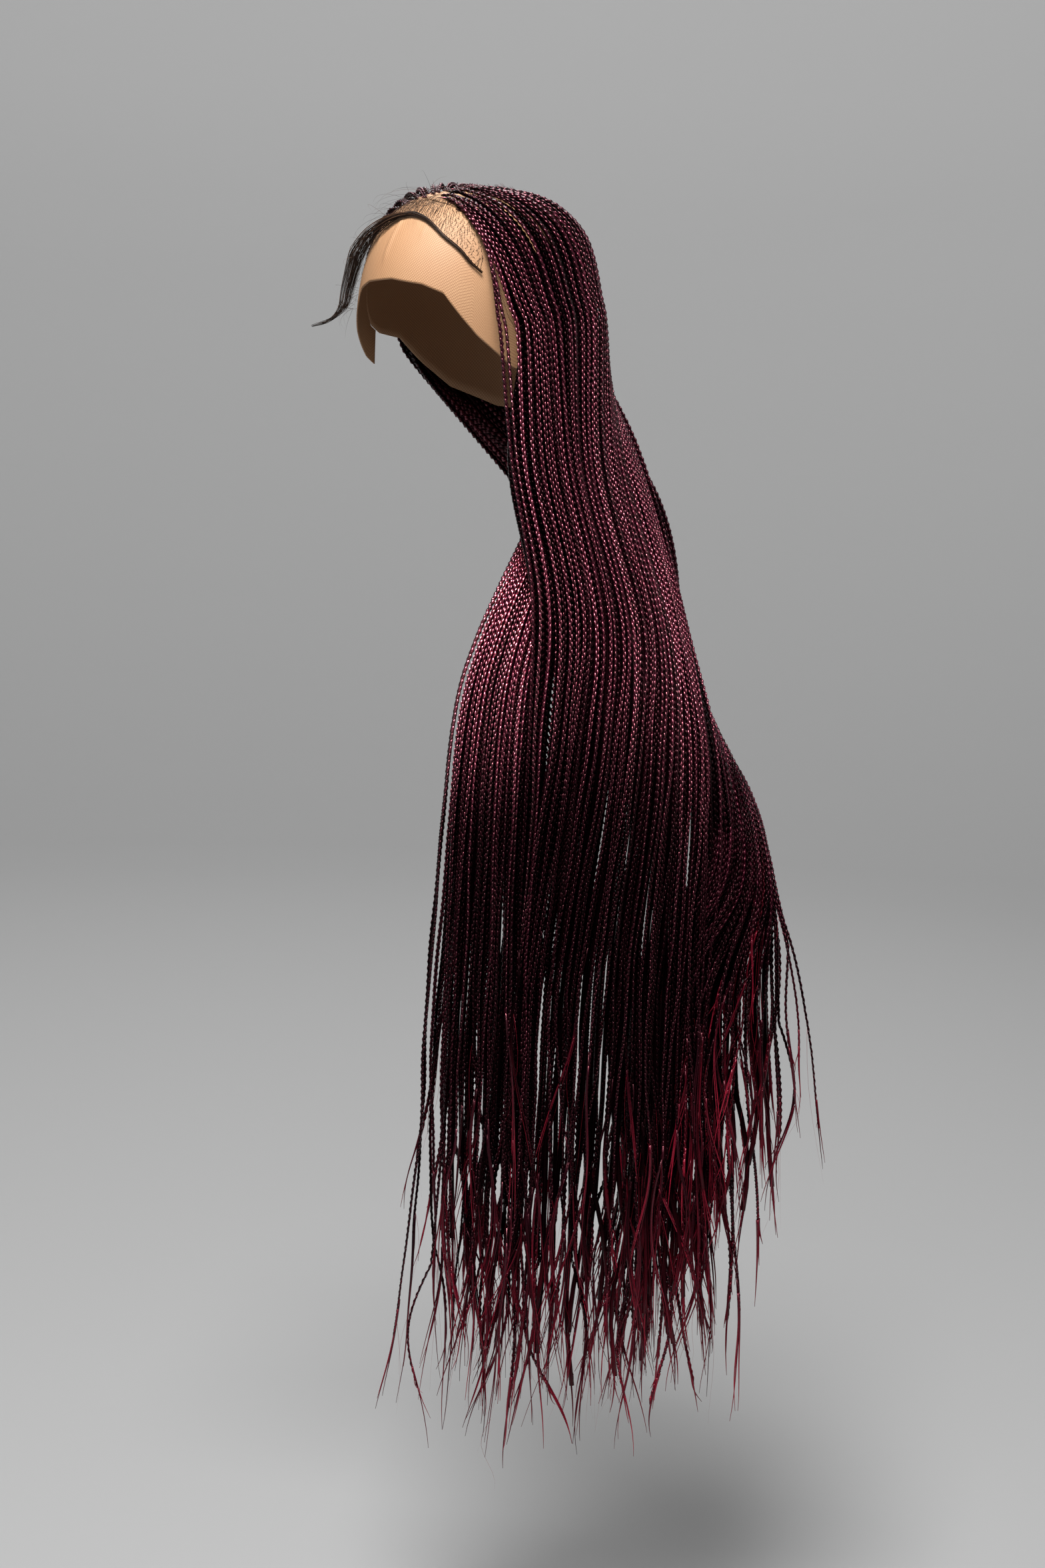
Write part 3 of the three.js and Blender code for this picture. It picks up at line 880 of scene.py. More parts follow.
class MeshBatch:
    """Many small closed shapes, gathered as arrays into one mesh with tones and two maps."""

    shift_mm = 400.0
    bake_margin = 0.08

    def __init__(self, rng: np.random.Generator) -> None:
        """Start empty.

        Args:
            rng: Draws the shift of each shape's fibres.
        """
        self.rng = rng
        self.places: list[Array] = []
        self.corners: list[Array] = []
        self.tones: list[Array] = []
        self.fibres: list[Array] = []
        self.cells: list[Array] = []
        self.vertices = 0
        self.shapes = 0

    def add(self, places: Array, shape: Shape, tones: Array, size_mm: Pair) -> None:
        """Add copies of one kind of shape.

        Args:
            places: Vertices of each copy.
            shape: Triangles and map of the kind.
            tones: Colour of each vertex of each copy.
            size_mm: Girth and length of a copy, for the scale of its fibres.
        """
        copies, points, _ = places.shape
        first = self.vertices + np.arange(copies)[:, None, None] * points
        self.corners.append((shape.triangles[None] + first).reshape(-1, 3))
        self.places.append(places.reshape(-1, 3) * MM)
        self.tones.append(np.broadcast_to(tones, (copies, points, 4)).reshape(-1, 4))
        shift = self.rng.uniform(0, self.shift_mm, (copies, 1, 2))
        spread = shape.map.reshape(1, -1, 2)
        self.fibres.append((spread * np.array(size_mm) + shift).reshape(-1, 2))
        cell = np.repeat(np.arange(self.shapes, self.shapes + copies), spread.shape[1])
        self.cells.append(np.column_stack([cell, np.tile(spread[0], (copies, 1))]))
        self.vertices += copies * points
        self.shapes += copies

    def add_tubes(
        self, lines: Array, radius: Array, outward: Array, sides: int, tones: Array, size_mm: Pair
    ) -> None:
        """Add round tubes along lines, as round_tubes wraps them and add takes them."""
        places = round_tubes(lines, radius, outward, sides)
        self.add(places, Shape.tube(lines.shape[1], sides), tones, size_mm)

    def piece(self, name: str, material: Material) -> Object:
        """Make one object of everything added.

        Args:
            name: Name of the piece.
            material: Its finish.

        Returns:
            The object, at the origin.
        """
        places = np.concatenate(self.places)
        corners = np.concatenate(self.corners).astype(np.int32)
        mesh = bpy.data.meshes.new(name)
        mesh.vertices.add(len(places))
        mesh.vertices.foreach_set("co", places.astype(np.float32).ravel())
        mesh.loops.add(corners.size)
        mesh.loops.foreach_set("vertex_index", corners.ravel())
        mesh.polygons.add(len(corners))
        mesh.polygons.foreach_set("loop_start", np.arange(0, corners.size, 3, dtype=np.int32))
        mesh.update(calc_edges=True)
        mesh.shade_smooth()
        tone = mesh.color_attributes.new(TONE, "FLOAT_COLOR", "POINT")
        tone.data.foreach_set("color", np.concatenate(self.tones).astype(np.float32).ravel())
        cells = np.concatenate(self.cells)
        side = math.ceil(math.sqrt(self.shapes))
        corner = np.column_stack([cells[:, 0] % side, cells[:, 0] // side])
        bake = (corner + self.bake_margin + (1 - 2 * self.bake_margin) * cells[:, 1:]) / side
        for title, spread in ((FIBRE_MAP, np.concatenate(self.fibres)), (BAKE_MAP, bake)):
            layer = mesh.uv_layers.new(name=title)
            layer.uv.foreach_set("vector", spread.astype(np.float32).ravel())
        mesh.materials.append(material)
        LOG.info("%s: %d triangles", name, len(corners))
        return new_object(name, mesh)


class Detail(Enum):
    """How a braid is drawn."""

    PLAITED = "plaited"
    SMOOTH = "smooth"


@dataclass
class Braid:
    """One braid: its course, its plait and its loose end. Its light is the way that its light comes from."""

    run: Array
    place: Array
    outward: Array
    light: Array
    width: Array
    plait_end: float
    detail: Detail
    share: float
    layer: int
    inside: bool
    shade: float
    # Shares of painted light and shade along the braid, for its colour and its gloss
    lit: Array
    dark_strands: int
    along: Array = field(init=False)
    across: Array = field(init=False)

    def __post_init__(self) -> None:
        """Square the braid's own directions to its course."""
        self.along = unit(np.gradient(self.place, axis=0))
        self.across = unit(np.cross(self.outward, self.along))
        self.outward = np.cross(self.along, self.across)


# Tone along a braid, for its dyed strands and its dark ones, as length and colour
DYED = ((0, "1e0e0d"), (25, "30101a"), (90, "430e21"), (1000, "430d1f"))
DARK = ((0, "0b0808"), (60, "0f090b"), (200, "160a0d"), (1000, "1c080e"))
TIPS = ("92142c", "5a0c1e")

# Gloss along a braid, as length and share
GLOSS = ((0, 0.3), (110, 1.0))

# How much light reaches each layer of braids from the outside, on the head and where they hang
SHADOW = (1.0, 0.14, 0.06, 0.5)
HUNG_SHADOW = (1.0, 0.3, 0.1, 0.8)

# Share of the colour and of the gloss that light from above leaves a plumb curtain of hair, and its tips
PLUMB_LIGHT = np.array([0.24, 0.24, 0.24, 0.18])
TIP_LIGHT = np.array([0.6, 0.6, 0.6, 0.22])

# Sway of a braid, as wave length and share of its reach across and outward
WAVES = ((430, 1.0), (190, 0.5), (85, 0.22))
SWAY_ACROSS, SWAY_OUTWARD = 1.7, 1.0

# How closely hanging braids draw together in clumps, as depth below the crown and share, and the level
# where a braid's clump is chosen
CLUMP_LEVEL = -620.0
GATHER = ((500, 0.0), (660, 0.1), (800, 0.15), (900, 0.1))


def tone_along(run: Array, rows: tuple[tuple[float, str], ...]) -> Array:
    """Read a tone table.

    Args:
        run: Lengths along the braid.
        rows: Lengths and hex colours.

    Returns:
        Linear colours.
    """
    places, codes = zip(*rows)
    return columns_at(run, np.array(places, float), np.array([linear(code) for code in codes]))


@dataclass
class BraidMaker:
    """Plans and draws the braids of every group."""

    rng: np.random.Generator
    lump: float = 2.7  # length of braid that each lobe of its plait moves on
    lobe_sides: int = 4
    lobe_reach: float = 1.8  # half length of a lobe, in lumps
    plait_wide: float = 1.06  # width of a plait to that of its braid
    lean: float = math.radians(12)
    late_short: float = 80.0  # how much shorter a braid is when it is rooted in the last row
    uneven_cut: float = 80.0
    covered_short: float = 15.0
    plumb_from: float = 325.0  # depth below the crown where light from above begins to miss the hair
    plumb_over: float = 160.0
    hang_from: float = 260.0  # length of braid where it begins to hang
    tip_mm: float = 150.0  # length of braid that reddens to its tip

    def __post_init__(self) -> None:
        """Choose the edges of the uneven clumps that the braids gather in as they hang."""
        self.edges = -60 + np.cumsum(self.rng.uniform(8, 22, 40))

    def plan(self, dressing: Dressing) -> list[Braid]:
        """Lay out a group.

        Args:
            dressing: The group.

        Returns:
            Its braids.
        """
        stray, edge = 0.12, 0.004
        spans = ((dressing.first_share, 1.0), dressing.via_shares, dressing.hung_shares)
        braids = []
        for number, row in enumerate(dressing.rows):
            low, high = dressing.inner_parts if row.layer > 1 else (0.0, 1.0)
            for k in range(row.count):
                part = (k + 0.5 + row.slip + self.rng.uniform(-stray, stray)) / row.count
                part = min(max(part, edge), 1 - edge)
                wide = low + (high - low) * part
                parts = (part, wide, wide**dressing.edge_thin)
                shares = tuple(a + (b - a) * at for (a, b), at in zip(spans, parts))
                braids.append(self.braid(dressing, shares, number))
        return braids

    def braid(
        self,
        dressing: Dressing,
        shares: tuple[float, float, float],
        row: int,
        swing: Pair | None = None,
        cut: float | None = None,
    ) -> Braid:
        """Run one braid.

        Args:
            dressing: Its group.
            shares: Its place across the group on the head, over the shoulder and as it hangs.
            row: Its row of roots.
            swing: How far its tip swings along the curtain and out of it, or None to choose.
            cut: Its length, or None to choose.

        Returns:
            The braid.
        """
        rng = self.rng
        layer = dressing.rows[row].layer
        covered = layer > 1
        control = dressing.control(*shares, row)
        samples, at = smooth_curve(control[:, :3], 8)
        outward = columns_at(at, np.arange(len(control)), control[:, 3:])
        run = lengths_along(samples)
        length = dressing.length - dressing.rows[row].start * self.late_short
        length -= dressing.edge_short * (1 - min(max(shares[2], 0.0), 1.0))
        length += rng.uniform(-6, 14) - abs(rng.normal(0, self.uneven_cut)) - self.covered_short * covered
        length = min(cut or length, run[-1] - 1)
        runs = np.arange(0, length, self.lump * rng.uniform(0.94, 1.08))
        place = columns_at(runs, run, samples)
        light = unit(columns_at(runs, run, outward))
        place = self.swayed(place, runs, length, light, 0.35 if covered else 1.0, swing)
        twist = rng.uniform(-1.4, 1.4) + 0.4 * np.sin(runs / rng.uniform(50, 110) + rng.uniform(0, 6))
        side = np.cross(light, unit(np.gradient(place, axis=0)))
        width = self.widths(dressing, covered, runs, length)
        inside = layer == dressing.layers - 1
        first, last = dressing.hung_shares
        shown = not covered or inside or self.edge_on((shares[2] - first) / (last - first))
        return Braid(
            run=runs,
            place=place,
            outward=light * np.cos(twist)[:, None] + side * np.sin(twist)[:, None],
            light=light,
            width=width,
            plait_end=length - rng.uniform(*dressing.loose) * (0.6 if covered else 1.0),
            detail=Detail.PLAITED if shown else Detail.SMOOTH,
            share=shares[2],
            layer=layer,
            inside=inside,
            shade=math.exp(float(np.clip(rng.normal(0, 0.4), -0.8, 0.6))),
            lit=self.light_on(dressing, row, runs, place[:, 2], light[:, 2]),
            dark_strands=int(rng.choice([0, 1, 2], p=[0.45, 0.35, 0.2])),
        )

    def widths(self, dressing: Dressing, covered: bool, runs: Array, length: float) -> Array:
        """Find how wide a braid is along its length.

        Args:
            dressing: Its group.
            covered: Whether others cover it, so that it is fuller to fill the gaps between them.
            runs: Length at each point.
            length: Its whole length.

        Returns:
            Its width at each point: slim at the root, and tapering to the tip.
        """
        taper, root_slim, root_mm = 0.28, 0.3, 14
        fuller, less_hung = 0.8, 0.38
        width = dressing.width * self.rng.uniform(0.92, 1.08) * (1 - taper * runs / length)
        width *= 1 - root_slim + root_slim * eased(runs / root_mm)
        full = fuller * eased((runs - 10) / 70) - less_hung * eased((runs - 360) / 120)
        return width * (1 + covered * full)

    def light_on(self, dressing: Dressing, row: int, runs: Array, level: Array, rise: Array) -> Array:
        """Find how much light reaches a braid inside the hair, wherever it is seen from.

        Args:
            dressing: Its group.
            row: Its row of roots.
            runs: Length at each point.
            level: Height of each point.
            rise: How far up the hair faces there, from -1 to 1.

        Returns:
            Shares of its colour and, last in each row, of its gloss.
        """
        layer = dressing.rows[row].layer
        hangs = runs - self.hang_from
        lit = SHADOW[layer] + (HUNG_SHADOW[layer] - SHADOW[layer]) * eased(hangs / 260)
        plumb = eased((-level - self.plumb_from) / self.plumb_over) * (1 - 0.5 * eased(rise / 0.8))
        risen = eased(rise / 0.5) * eased((runs - 200) / 100)
        gain = dressing.gain * (1 - dressing.rise_loss * risen)
        gain *= 1 - (row == 1) * (1 - dressing.under) * eased(hangs / 160)
        lit = lit[:, None] * ((gain * (1 - plumb))[:, None] + plumb[:, None] * PLUMB_LIGHT)
        lit[:, 3] *= 1 - dressing.rise_dull * risen
        return lit

    @staticmethod
    def edge_on(share: float) -> bool:
        """Tell whether a braid hangs at an edge of its group, where every layer shows."""
        return share < 0.2 or share > 0.95

    def swayed(
        self, place: Array, runs: Array, length: float, outward: Array, gathered: float, swing: Pair | None
    ) -> Array:
        """Gather a braid into its clump and let it sway, more towards its tip.

        Args:
            place: Points of its course.
            runs: Length at each point.
            length: Its whole length.
            outward: Outward way at each point.
            gathered: How closely it keeps to its clump.
            swing: How far its tip swings, or None to choose.

        Returns:
            Points of the new course.
        """
        rng = self.rng
        level = place[:, 2]
        hung = float(np.interp(CLUMP_LEVEL, level[::-1], CURTAIN.along(place)[::-1]))
        clump = int(np.clip(np.searchsorted(self.edges, hung), 1, len(self.edges) - 1))
        middle = (self.edges[clump - 1] + self.edges[clump]) / 2
        gather = np.interp(-level, *zip(*GATHER)) * gathered
        if swing is None:
            place = place + ((middle - hung) * gather)[:, None] * CURTAIN.line
        least, stiff_mm, freed_mm, covered = 0.1, 160, 520, 0.4
        freedom = least + (1 - least) * eased((runs - stiff_mm) / freed_mm)
        freedom *= 1.0 if gathered == 1.0 else covered
        across = np.cross(outward, unit(np.gradient(place, axis=0)))
        for reach, way in ((SWAY_ACROSS, across), (SWAY_OUTWARD, outward)):
            for wave, size in WAVES:
                phase = rng.uniform(0, FULL_TURN)
                turn = runs * FULL_TURN / (wave * rng.uniform(0.8, 1.25)) + phase
                place = place + (reach * size * freedom * np.sin(turn))[:, None] * way
        # Room to swing towards the front edge of the curtain and towards its back edge
        widest, back_edge = 44, 275
        room = (-min(max(20 + 0.5 * hung, 20), widest), min(max(0.4 * (back_edge - hung), -2), widest))
        sideways, forward = swing or (
            float(np.clip(rng.normal(0, 19), *room)),
            float(np.clip(rng.normal(0, 5), -9, 5)),
        )
        swung_mm, bent_mm = 270, 150
        late = np.clip((runs - length + swung_mm) / swung_mm, 0, 1) ** 1.7
        turn = math.pi * np.clip((runs - length + bent_mm) / bent_mm, 0, 1) * 1.5
        bend = (swing is None) * rng.normal(0, 4.5) * np.sin(turn)
        swung = sideways * CURTAIN.line + forward * CURTAIN.face
        return place + late[:, None] * swung + bend[:, None] * across

    def tones(self, run: Array, strand: Array, braid: Braid) -> Array:
        """Colour strands of a braid and paint its shade and light on them.

        Args:
            run: Length at each place.
            strand: Number of the strand at each place, 0 to 2.
            braid: The braid.

        Returns:
            Linear colours with painted shade and light in them, and the gloss, painted alike, as alpha.
        """
        dark = (strand < braid.dark_strands)[:, None]
        tone = np.where(dark, tone_along(run, DARK), tone_along(run, DYED))
        tip = np.where(dark, linear(TIPS[1]), linear(TIPS[0]))
        late = eased(1.1 - (braid.run[-1] - run) / self.tip_mm) ** 1.4
        tone += (tip - tone) * late[:, None]
        tone[:, 3] = np.interp(run, *zip(*GLOSS))
        tone *= braid.shade * self.rng.uniform(0.82, 1.2, len(run))[:, None]
        # Painted shade and light along the braid, blending to the painted light of the tips
        lit = columns_at(run, braid.run, braid.lit)
        return tone * (lit + (TIP_LIGHT - lit) * late[:, None])

    def draw(self, braid: Braid, batch: MeshBatch) -> None:
        """Add a braid's plait and loose end to a batch.

        Args:
            braid: The braid.
            batch: Where it goes.
        """
        if braid.detail is Detail.PLAITED:
            self.draw_plait(braid, batch)
        else:
            self.draw_smooth(braid, batch)
        self.draw_end(braid, batch)
        if braid.layer < 2:
            self.draw_root(braid, batch)
            self.draw_wisp(braid, batch)

    def draw_plait(self, braid: Braid, batch: MeshBatch) -> None:
        """Add the lobes of a three-strand plait: each comes from behind, bulges at one side and dips inward.

        What faces outward is open to the light. The rest is shaded, as fibres in a dense bundle are.

        Args:
            braid: The braid.
            batch: Where it goes.
        """
        aside, half_wide, half_thick, dip = 0.2, 0.24, 0.33, 0.22
        shaded, ends_open, inside_open = 0.12, 0.15, 0.6
        count = int(np.searchsorted(braid.run, braid.plait_end))
        lobes = np.arange(count)
        along, out = braid.along[:count, None], braid.outward[:count, None]
        across = braid.across[:count, None] * np.where(lobes % 2, 1.0, -1.0)[:, None, None]
        slimmer, slim_from = 0.25, 0.7
        narrowed = slimmer * eased((lobes / count - slim_from) / (1 - slim_from))
        width = self.plait_wide * braid.width[:count] * (1 - narrowed)
        width = width[:, None, None]
        girdle = across * math.cos(self.lean) + along * math.sin(self.lean)
        middle = braid.place[:count, None] + across * aside * width
        turn = np.arange(self.lobe_sides)[:, None] * FULL_TURN / self.lobe_sides + math.pi / 2
        way = girdle * np.cos(turn) + out * np.sin(turn)
        ring = middle + (girdle * np.cos(turn) * half_wide + out * np.sin(turn) * half_thick) * width
        reach = along * self.lump * self.lobe_reach
        head = middle - reach - out * dip * width
        tail = middle + reach - across * aside * width
        places = np.concatenate([head, ring, tail], axis=1)
        facing = np.clip(np.sum(way * braid.light[:count, None], axis=-1), 0, 1) ** 1.4
        ends = np.full((count, 1), ends_open)
        open_side = np.concatenate([ends, shaded + (1 - shaded) * facing, ends], axis=1)
        if braid.inside:
            open_side = np.maximum(open_side, inside_open)
        # Painted shade: lobe ends and sides that face away from the light are darkened in colour and gloss
        tone = self.tones(braid.run[:count], lobes % 3, braid)[:, None] * open_side[..., None]
        batch.add(places, Shape.lobe(self.lobe_sides), tone, (8.0, 9.0))

    def draw_smooth(self, braid: Braid, batch: MeshBatch) -> None:
        """Add a plain round braid, shaded, for one that others hide.

        Args:
            braid: The braid.
            batch: Where it goes.
        """
        rings, sides, thick, shaded = 48, 5, 0.43, 0.6
        at = np.linspace(0, braid.plait_end, rings)
        line = columns_at(at, braid.run, braid.place)[None]
        radius = np.interp(at, braid.run, braid.width)[None] * thick
        outward = columns_at(at, braid.run, braid.outward)[None]
        tone = np.repeat(self.tones(at, np.arange(rings) % 3, braid) * shaded, sides, axis=0)[None]
        batch.add_tubes(line, radius, outward, sides, tone, (12.0, 700.0))

    def draw_root(self, braid: Braid, batch: MeshBatch) -> None:
        """Add the hairs that are gathered from the net round a root into the start of its braid.

        Args:
            braid: The braid.
            batch: Where it goes.
        """
        hairs, points, sides = 12, 5, 3
        sink, bow_mm = 0.7, 0.5
        share = np.linspace(0, 1, points)[None, :, None]
        turn = self.rng.uniform(-2.0, 2.0, hairs)[:, None]
        reach = self.rng.uniform(2.5, 7.0, hairs)[:, None]
        away = -braid.along[0] * np.cos(turn) + braid.across[0] * np.sin(turn)
        start = braid.place[0] - braid.outward[0] * sink + away * reach
        end = braid.place[2] + braid.across[0] * self.rng.uniform(-0.8, 0.8, hairs)[:, None]
        bow = np.sin(share * math.pi) * braid.outward[0] * bow_mm
        lines = start[:, None] * (1 - share) + end[:, None] * share + bow
        radius = np.broadcast_to(np.linspace(0.1, 0.3, points), (hairs, points))
        tone = np.array(linear(DARK[0][1])) * (1, 1, 1, 0.5)
        batch.add_tubes(lines, radius, braid.outward[0], sides, tone, (1.5, 8.0))

    def draw_end(self, braid: Braid, batch: MeshBatch) -> None:
        """Add the loose end of a braid: strands that part and thin out to nothing.

        Args:
            braid: The braid.
            batch: Where it goes.
        """
        rng = self.rng
        rings, sides, least = 15, 4, 20
        free = np.linspace(0, 1, rings)
        for strand in range(3):
            start = braid.plait_end - rng.uniform(12, 30)
            stop = braid.run[-1] - abs(rng.normal(0, 40)) * (strand > 0)
            at = np.linspace(start, max(stop, start + least), rings)
            turn = rng.uniform(0, FULL_TURN)
            spread = rng.uniform(0, 4) * free**2.5 + 0.6
            across = columns_at(at, braid.run, braid.across)
            outward = columns_at(at, braid.run, braid.outward)
            offset = across * math.cos(turn) + outward * math.sin(turn)
            curl = np.sin(free * rng.uniform(2, 5) + rng.uniform(0, 6)) * free**2 * rng.uniform(0, 6)
            line = columns_at(at, braid.run, braid.place) + offset * spread[:, None]
            line = line + across * curl[:, None]
            radius = 0.22 * braid.width[-1] * (1 - free) ** 0.9 + 0.16
            tone = np.repeat(self.tones(at, np.full(rings, strand), braid), sides, axis=0)[None]
            batch.add_tubes(line[None], radius[None], outward[None], sides, tone, (3.0, 200.0))

    def draw_wisp(self, braid: Braid, batch: MeshBatch) -> None:
        """Add one fine hair that has come away near the tip of a braid.

        Args:
            braid: The braid.
            batch: Where it goes.
        """
        rng = self.rng
        points, sides, past_tip = 9, 3, 25
        share = np.linspace(0, 1, points)
        back = rng.uniform(30, 170)
        at = int(np.searchsorted(braid.run, braid.run[-1] - back))
        reach = min(rng.uniform(50, 130), back + past_tip)
        away = float(np.clip(rng.normal(0, 8), -14, 4)) * share**1.5
        away += rng.normal(0, 4) * np.sin(share * rng.uniform(2, 6))
        line = braid.place[at] + unit(braid.along[at] - (0, 0, 1)) * reach * share[:, None]
        line = line + CURTAIN.line * away[:, None] + CURTAIN.face * (rng.normal(0, 4) * share)[:, None]
        radius = 0.13 * (1.1 - share)
        tone = np.array(linear(TIPS[0])) * (0.8, 0.8, 0.8, 0.4)
        batch.add_tubes(line[None], radius[None], CURTAIN.face, sides, tone, (1.0, 90.0))


@dataclass
class Braids:
    """All the braided hair."""

    rng: np.random.Generator
    finish: HairFinish = HairFinish("braided synthetic hair")

    def build(self) -> list[Object]:
        """Make the pieces of every group.

        Returns:
            The pieces.
        """
        maker = BraidMaker(self.rng)
        material = self.finish.material()
        near = maker.plan(NEAR) + self.front_pair(maker)
        far = maker.plan(FAR) + self.edge_pair(maker)
        nape = maker.plan(NAPE) + self.stray_pair(maker)
        # Pieces of each group, with the first and last place across it as it hangs
        parts = (
            ("braids_near_temple", NEAR, near, -1, 0.34),
            ("braids_near_side", NEAR, near, 0.34, 0.67),
            ("braids_near_back", NEAR, near, 0.67, 2),
            ("braids_far_temple", FAR, far, -1, 0.92),
            ("braids_far_side", FAR, far, 0.92, 1.4),
            ("braids_far_back", FAR, far, 1.4, 2),
            ("braids_nape_layer", NAPE, nape, -1, 2),
        )
        pieces = []
        for name, dressing, braids, first, last in parts:
            batch = MeshBatch(self.rng)
            for braid in braids:
                if first <= braid.share < last:
                    maker.draw(braid, batch)
            piece = batch.piece(name, material)
            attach(piece, "root")
            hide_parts(dressing.node)
            pieces.append(piece)
        return pieces

    @staticmethod
    def front_pair(maker: BraidMaker) -> list[Braid]:
        """Run the pair of braids that frames the temple, one behind it, and one that stands off the back.

        Args:
            maker: Runs them.

        Returns:
            The braids.
        """
        pair = [maker.braid(NEAR, (0.01 + 0.052 * i, 0.027 * i, 0.03 * i), 0, (-6, 2)) for i in range(2)]
        behind = maker.braid(NEAR, (0.17, 0.062, 0.07), 0)
        return pair + [behind, maker.braid(NEAR, (0.99, 1.09, 1.05), 0)]

    @staticmethod
    def edge_pair(maker: BraidMaker) -> list[Braid]:
        """Run the pair of braids that hangs clear at the back edge of the curtain."""
        places = ((0.02, -0.02, -0.06), (0.05, 0.02, 0.02))
        return [maker.braid(FAR, places[0], 0, (7, 1), 930), maker.braid(FAR, places[1], 0, (1, 3), 890)]

    @staticmethod
    def stray_pair(maker: BraidMaker) -> list[Braid]:
        """Run the pair of braids that swings away at the front edge of the nape layer."""
        shares = (0.1, -0.1, -0.1)
        return [maker.braid(NAPE, shares, 0, (-44, 2), 862), maker.braid(NAPE, shares, 1, (-27, 2), 848)]


@dataclass
class Lace:
    """The cap and the lace in front of it, one skin-toned net."""

    finish: LaceFinish = LaceFinish("skin-toned hair lace")
    cap_grid: tuple[int, int] = (144, 36)
    front_grid: tuple[int, int] = (160, 40)
    thickness: float = 0.8
    clearance: float = 0.1
    seam: float = 1.1
    tab: float = 76.0
    map_radius: float = 80.0
    map_crown: float = 60.0
    # Flat size of each net before it is shaped to the head, in metres, and the area that is cut from it
    cap_flat: Pair = (0.36, 0.3)
    cap_area: float = 0.0585
    front_flat: Pair = (0.24, 0.1)
    front_area: float = 0.0134
    # Wrinkles of the lace on the forehead: azimuth, first and last drop, height and width
    wrinkles: Table = (
        (-9, 26, 62, 0.9, 2.2),
        (-24, 32, 52, 0.7, 2.0),
        (14, 30, 46, 0.4, 2.4),
    )

    def build(self) -> list[Object]:
        """Make the cap and the lace front.

        Returns:
            The two pieces.
        """
        material = self.finish.material()
        cap = self.net_piece("lace_cap_net", self.cap_grid, self.cap_place, material)
        front = self.net_piece("lace_front_net", self.front_grid, self.front_place, material)
        for piece, node in ((cap, "lace_cap"), (front, "lace_front")):
            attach(piece, "root")
            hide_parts(node)
        return [cap, front]

    def cap_place(self, column: float, row: float) -> tuple[Array, Pair]:
        """Place a point of the cap.

        Args:
            column: Share of the way round from the back.
            row: Share of the way from the crown to the edge.

        Returns:
            The point, and its place on the flat net.
        """
        azimuth = 360 * column - 180
        drop = drop_at(CAP_EDGE, azimuth)
        direction = between(np.array([0.0, 0.0, 1.0]), HEAD.direction(azimuth, drop), np.array(row))
        place, _ = HEAD.lifted(direction, np.array(self.thickness / 2 + self.clearance))
        return place, (math.radians(azimuth) * self.map_radius, row * (self.map_crown + drop))

    def front_place(self, column: float, row: float) -> tuple[Array, Pair]:
        """Place a point of the lace front.

        Args:
            column: Share of the way across from the right tab to the left.
            row: Share of the way from the seam to the front edge.

        Returns:
            The point, and its place on the flat net.
        """
        degree_mm, fade_in, fade_out = 1.4, 8, 10
        azimuth = self.tab * (2 * column - 1)
        inner, outer = drop_at(CAP_EDGE, azimuth), drop_at(LACE_EDGE, azimuth)
        back, front = HEAD.direction(azimuth, inner), HEAD.direction(azimuth, outer)
        ends, _ = HEAD.lifted(np.array([back, front]), np.zeros(2))
        span = float(np.linalg.norm(ends[1] - ends[0]))
        share = self.seam / span + (1 - self.seam / span) * row
        direction = between(back, front, np.array(share))
        drop = inner + (outer - inner) * share
        lift = self.thickness / 2 + self.clearance
        for place, first, last, height, width in self.wrinkles:
            beside = (azimuth - place) * degree_mm / width
            within = eased(np.array((drop - first) / fade_in)) * eased(np.array((last - drop) / fade_out))
            lift += height * math.exp(-beside * beside) * float(within)
        place, _ = HEAD.lifted(direction, np.array(lift))
        return place, (math.radians(azimuth) * self.map_radius, share * span)

    def net_piece(
        self, name: str, grid: tuple[int, int], place_at: Callable, material: Material
    ) -> Object:
        """Shape a flat grid of net to the head and give it its thickness.

        Args:
            name: Name of the piece.
            grid: Spans of the grid across and down.
            place_at: Gives the place and the net map of a share across and a share down.
            material: Its finish.

        Returns:
            The piece.
        """
        shape = bmesh.new()
        net = shape.loops.layers.uv.new(NET_MAP)
        bmesh.ops.create_grid(shape, x_segments=grid[0], y_segments=grid[1], size=1.0)
        for vertex in shape.verts:
            place, spot = place_at((vertex.co.x + 1) / 2, (1 - vertex.co.y) / 2)
            for loop in vertex.link_loops:
                loop[net].uv = spot
            vertex.co = Vector(place * MM)
        bmesh.ops.remove_doubles(shape, verts=shape.verts, dist=0.02 * MM)
        bmesh.ops.recalc_face_normals(shape, faces=shape.faces)
        made = smooth_object(name, shape, material)
        wall = made.modifiers.new("thickness", "SOLIDIFY")
        wall.thickness = self.thickness * MM
        wall.offset = 0
        LOG.info("%s: %d faces", name, len(made.data.polygons))
        return made


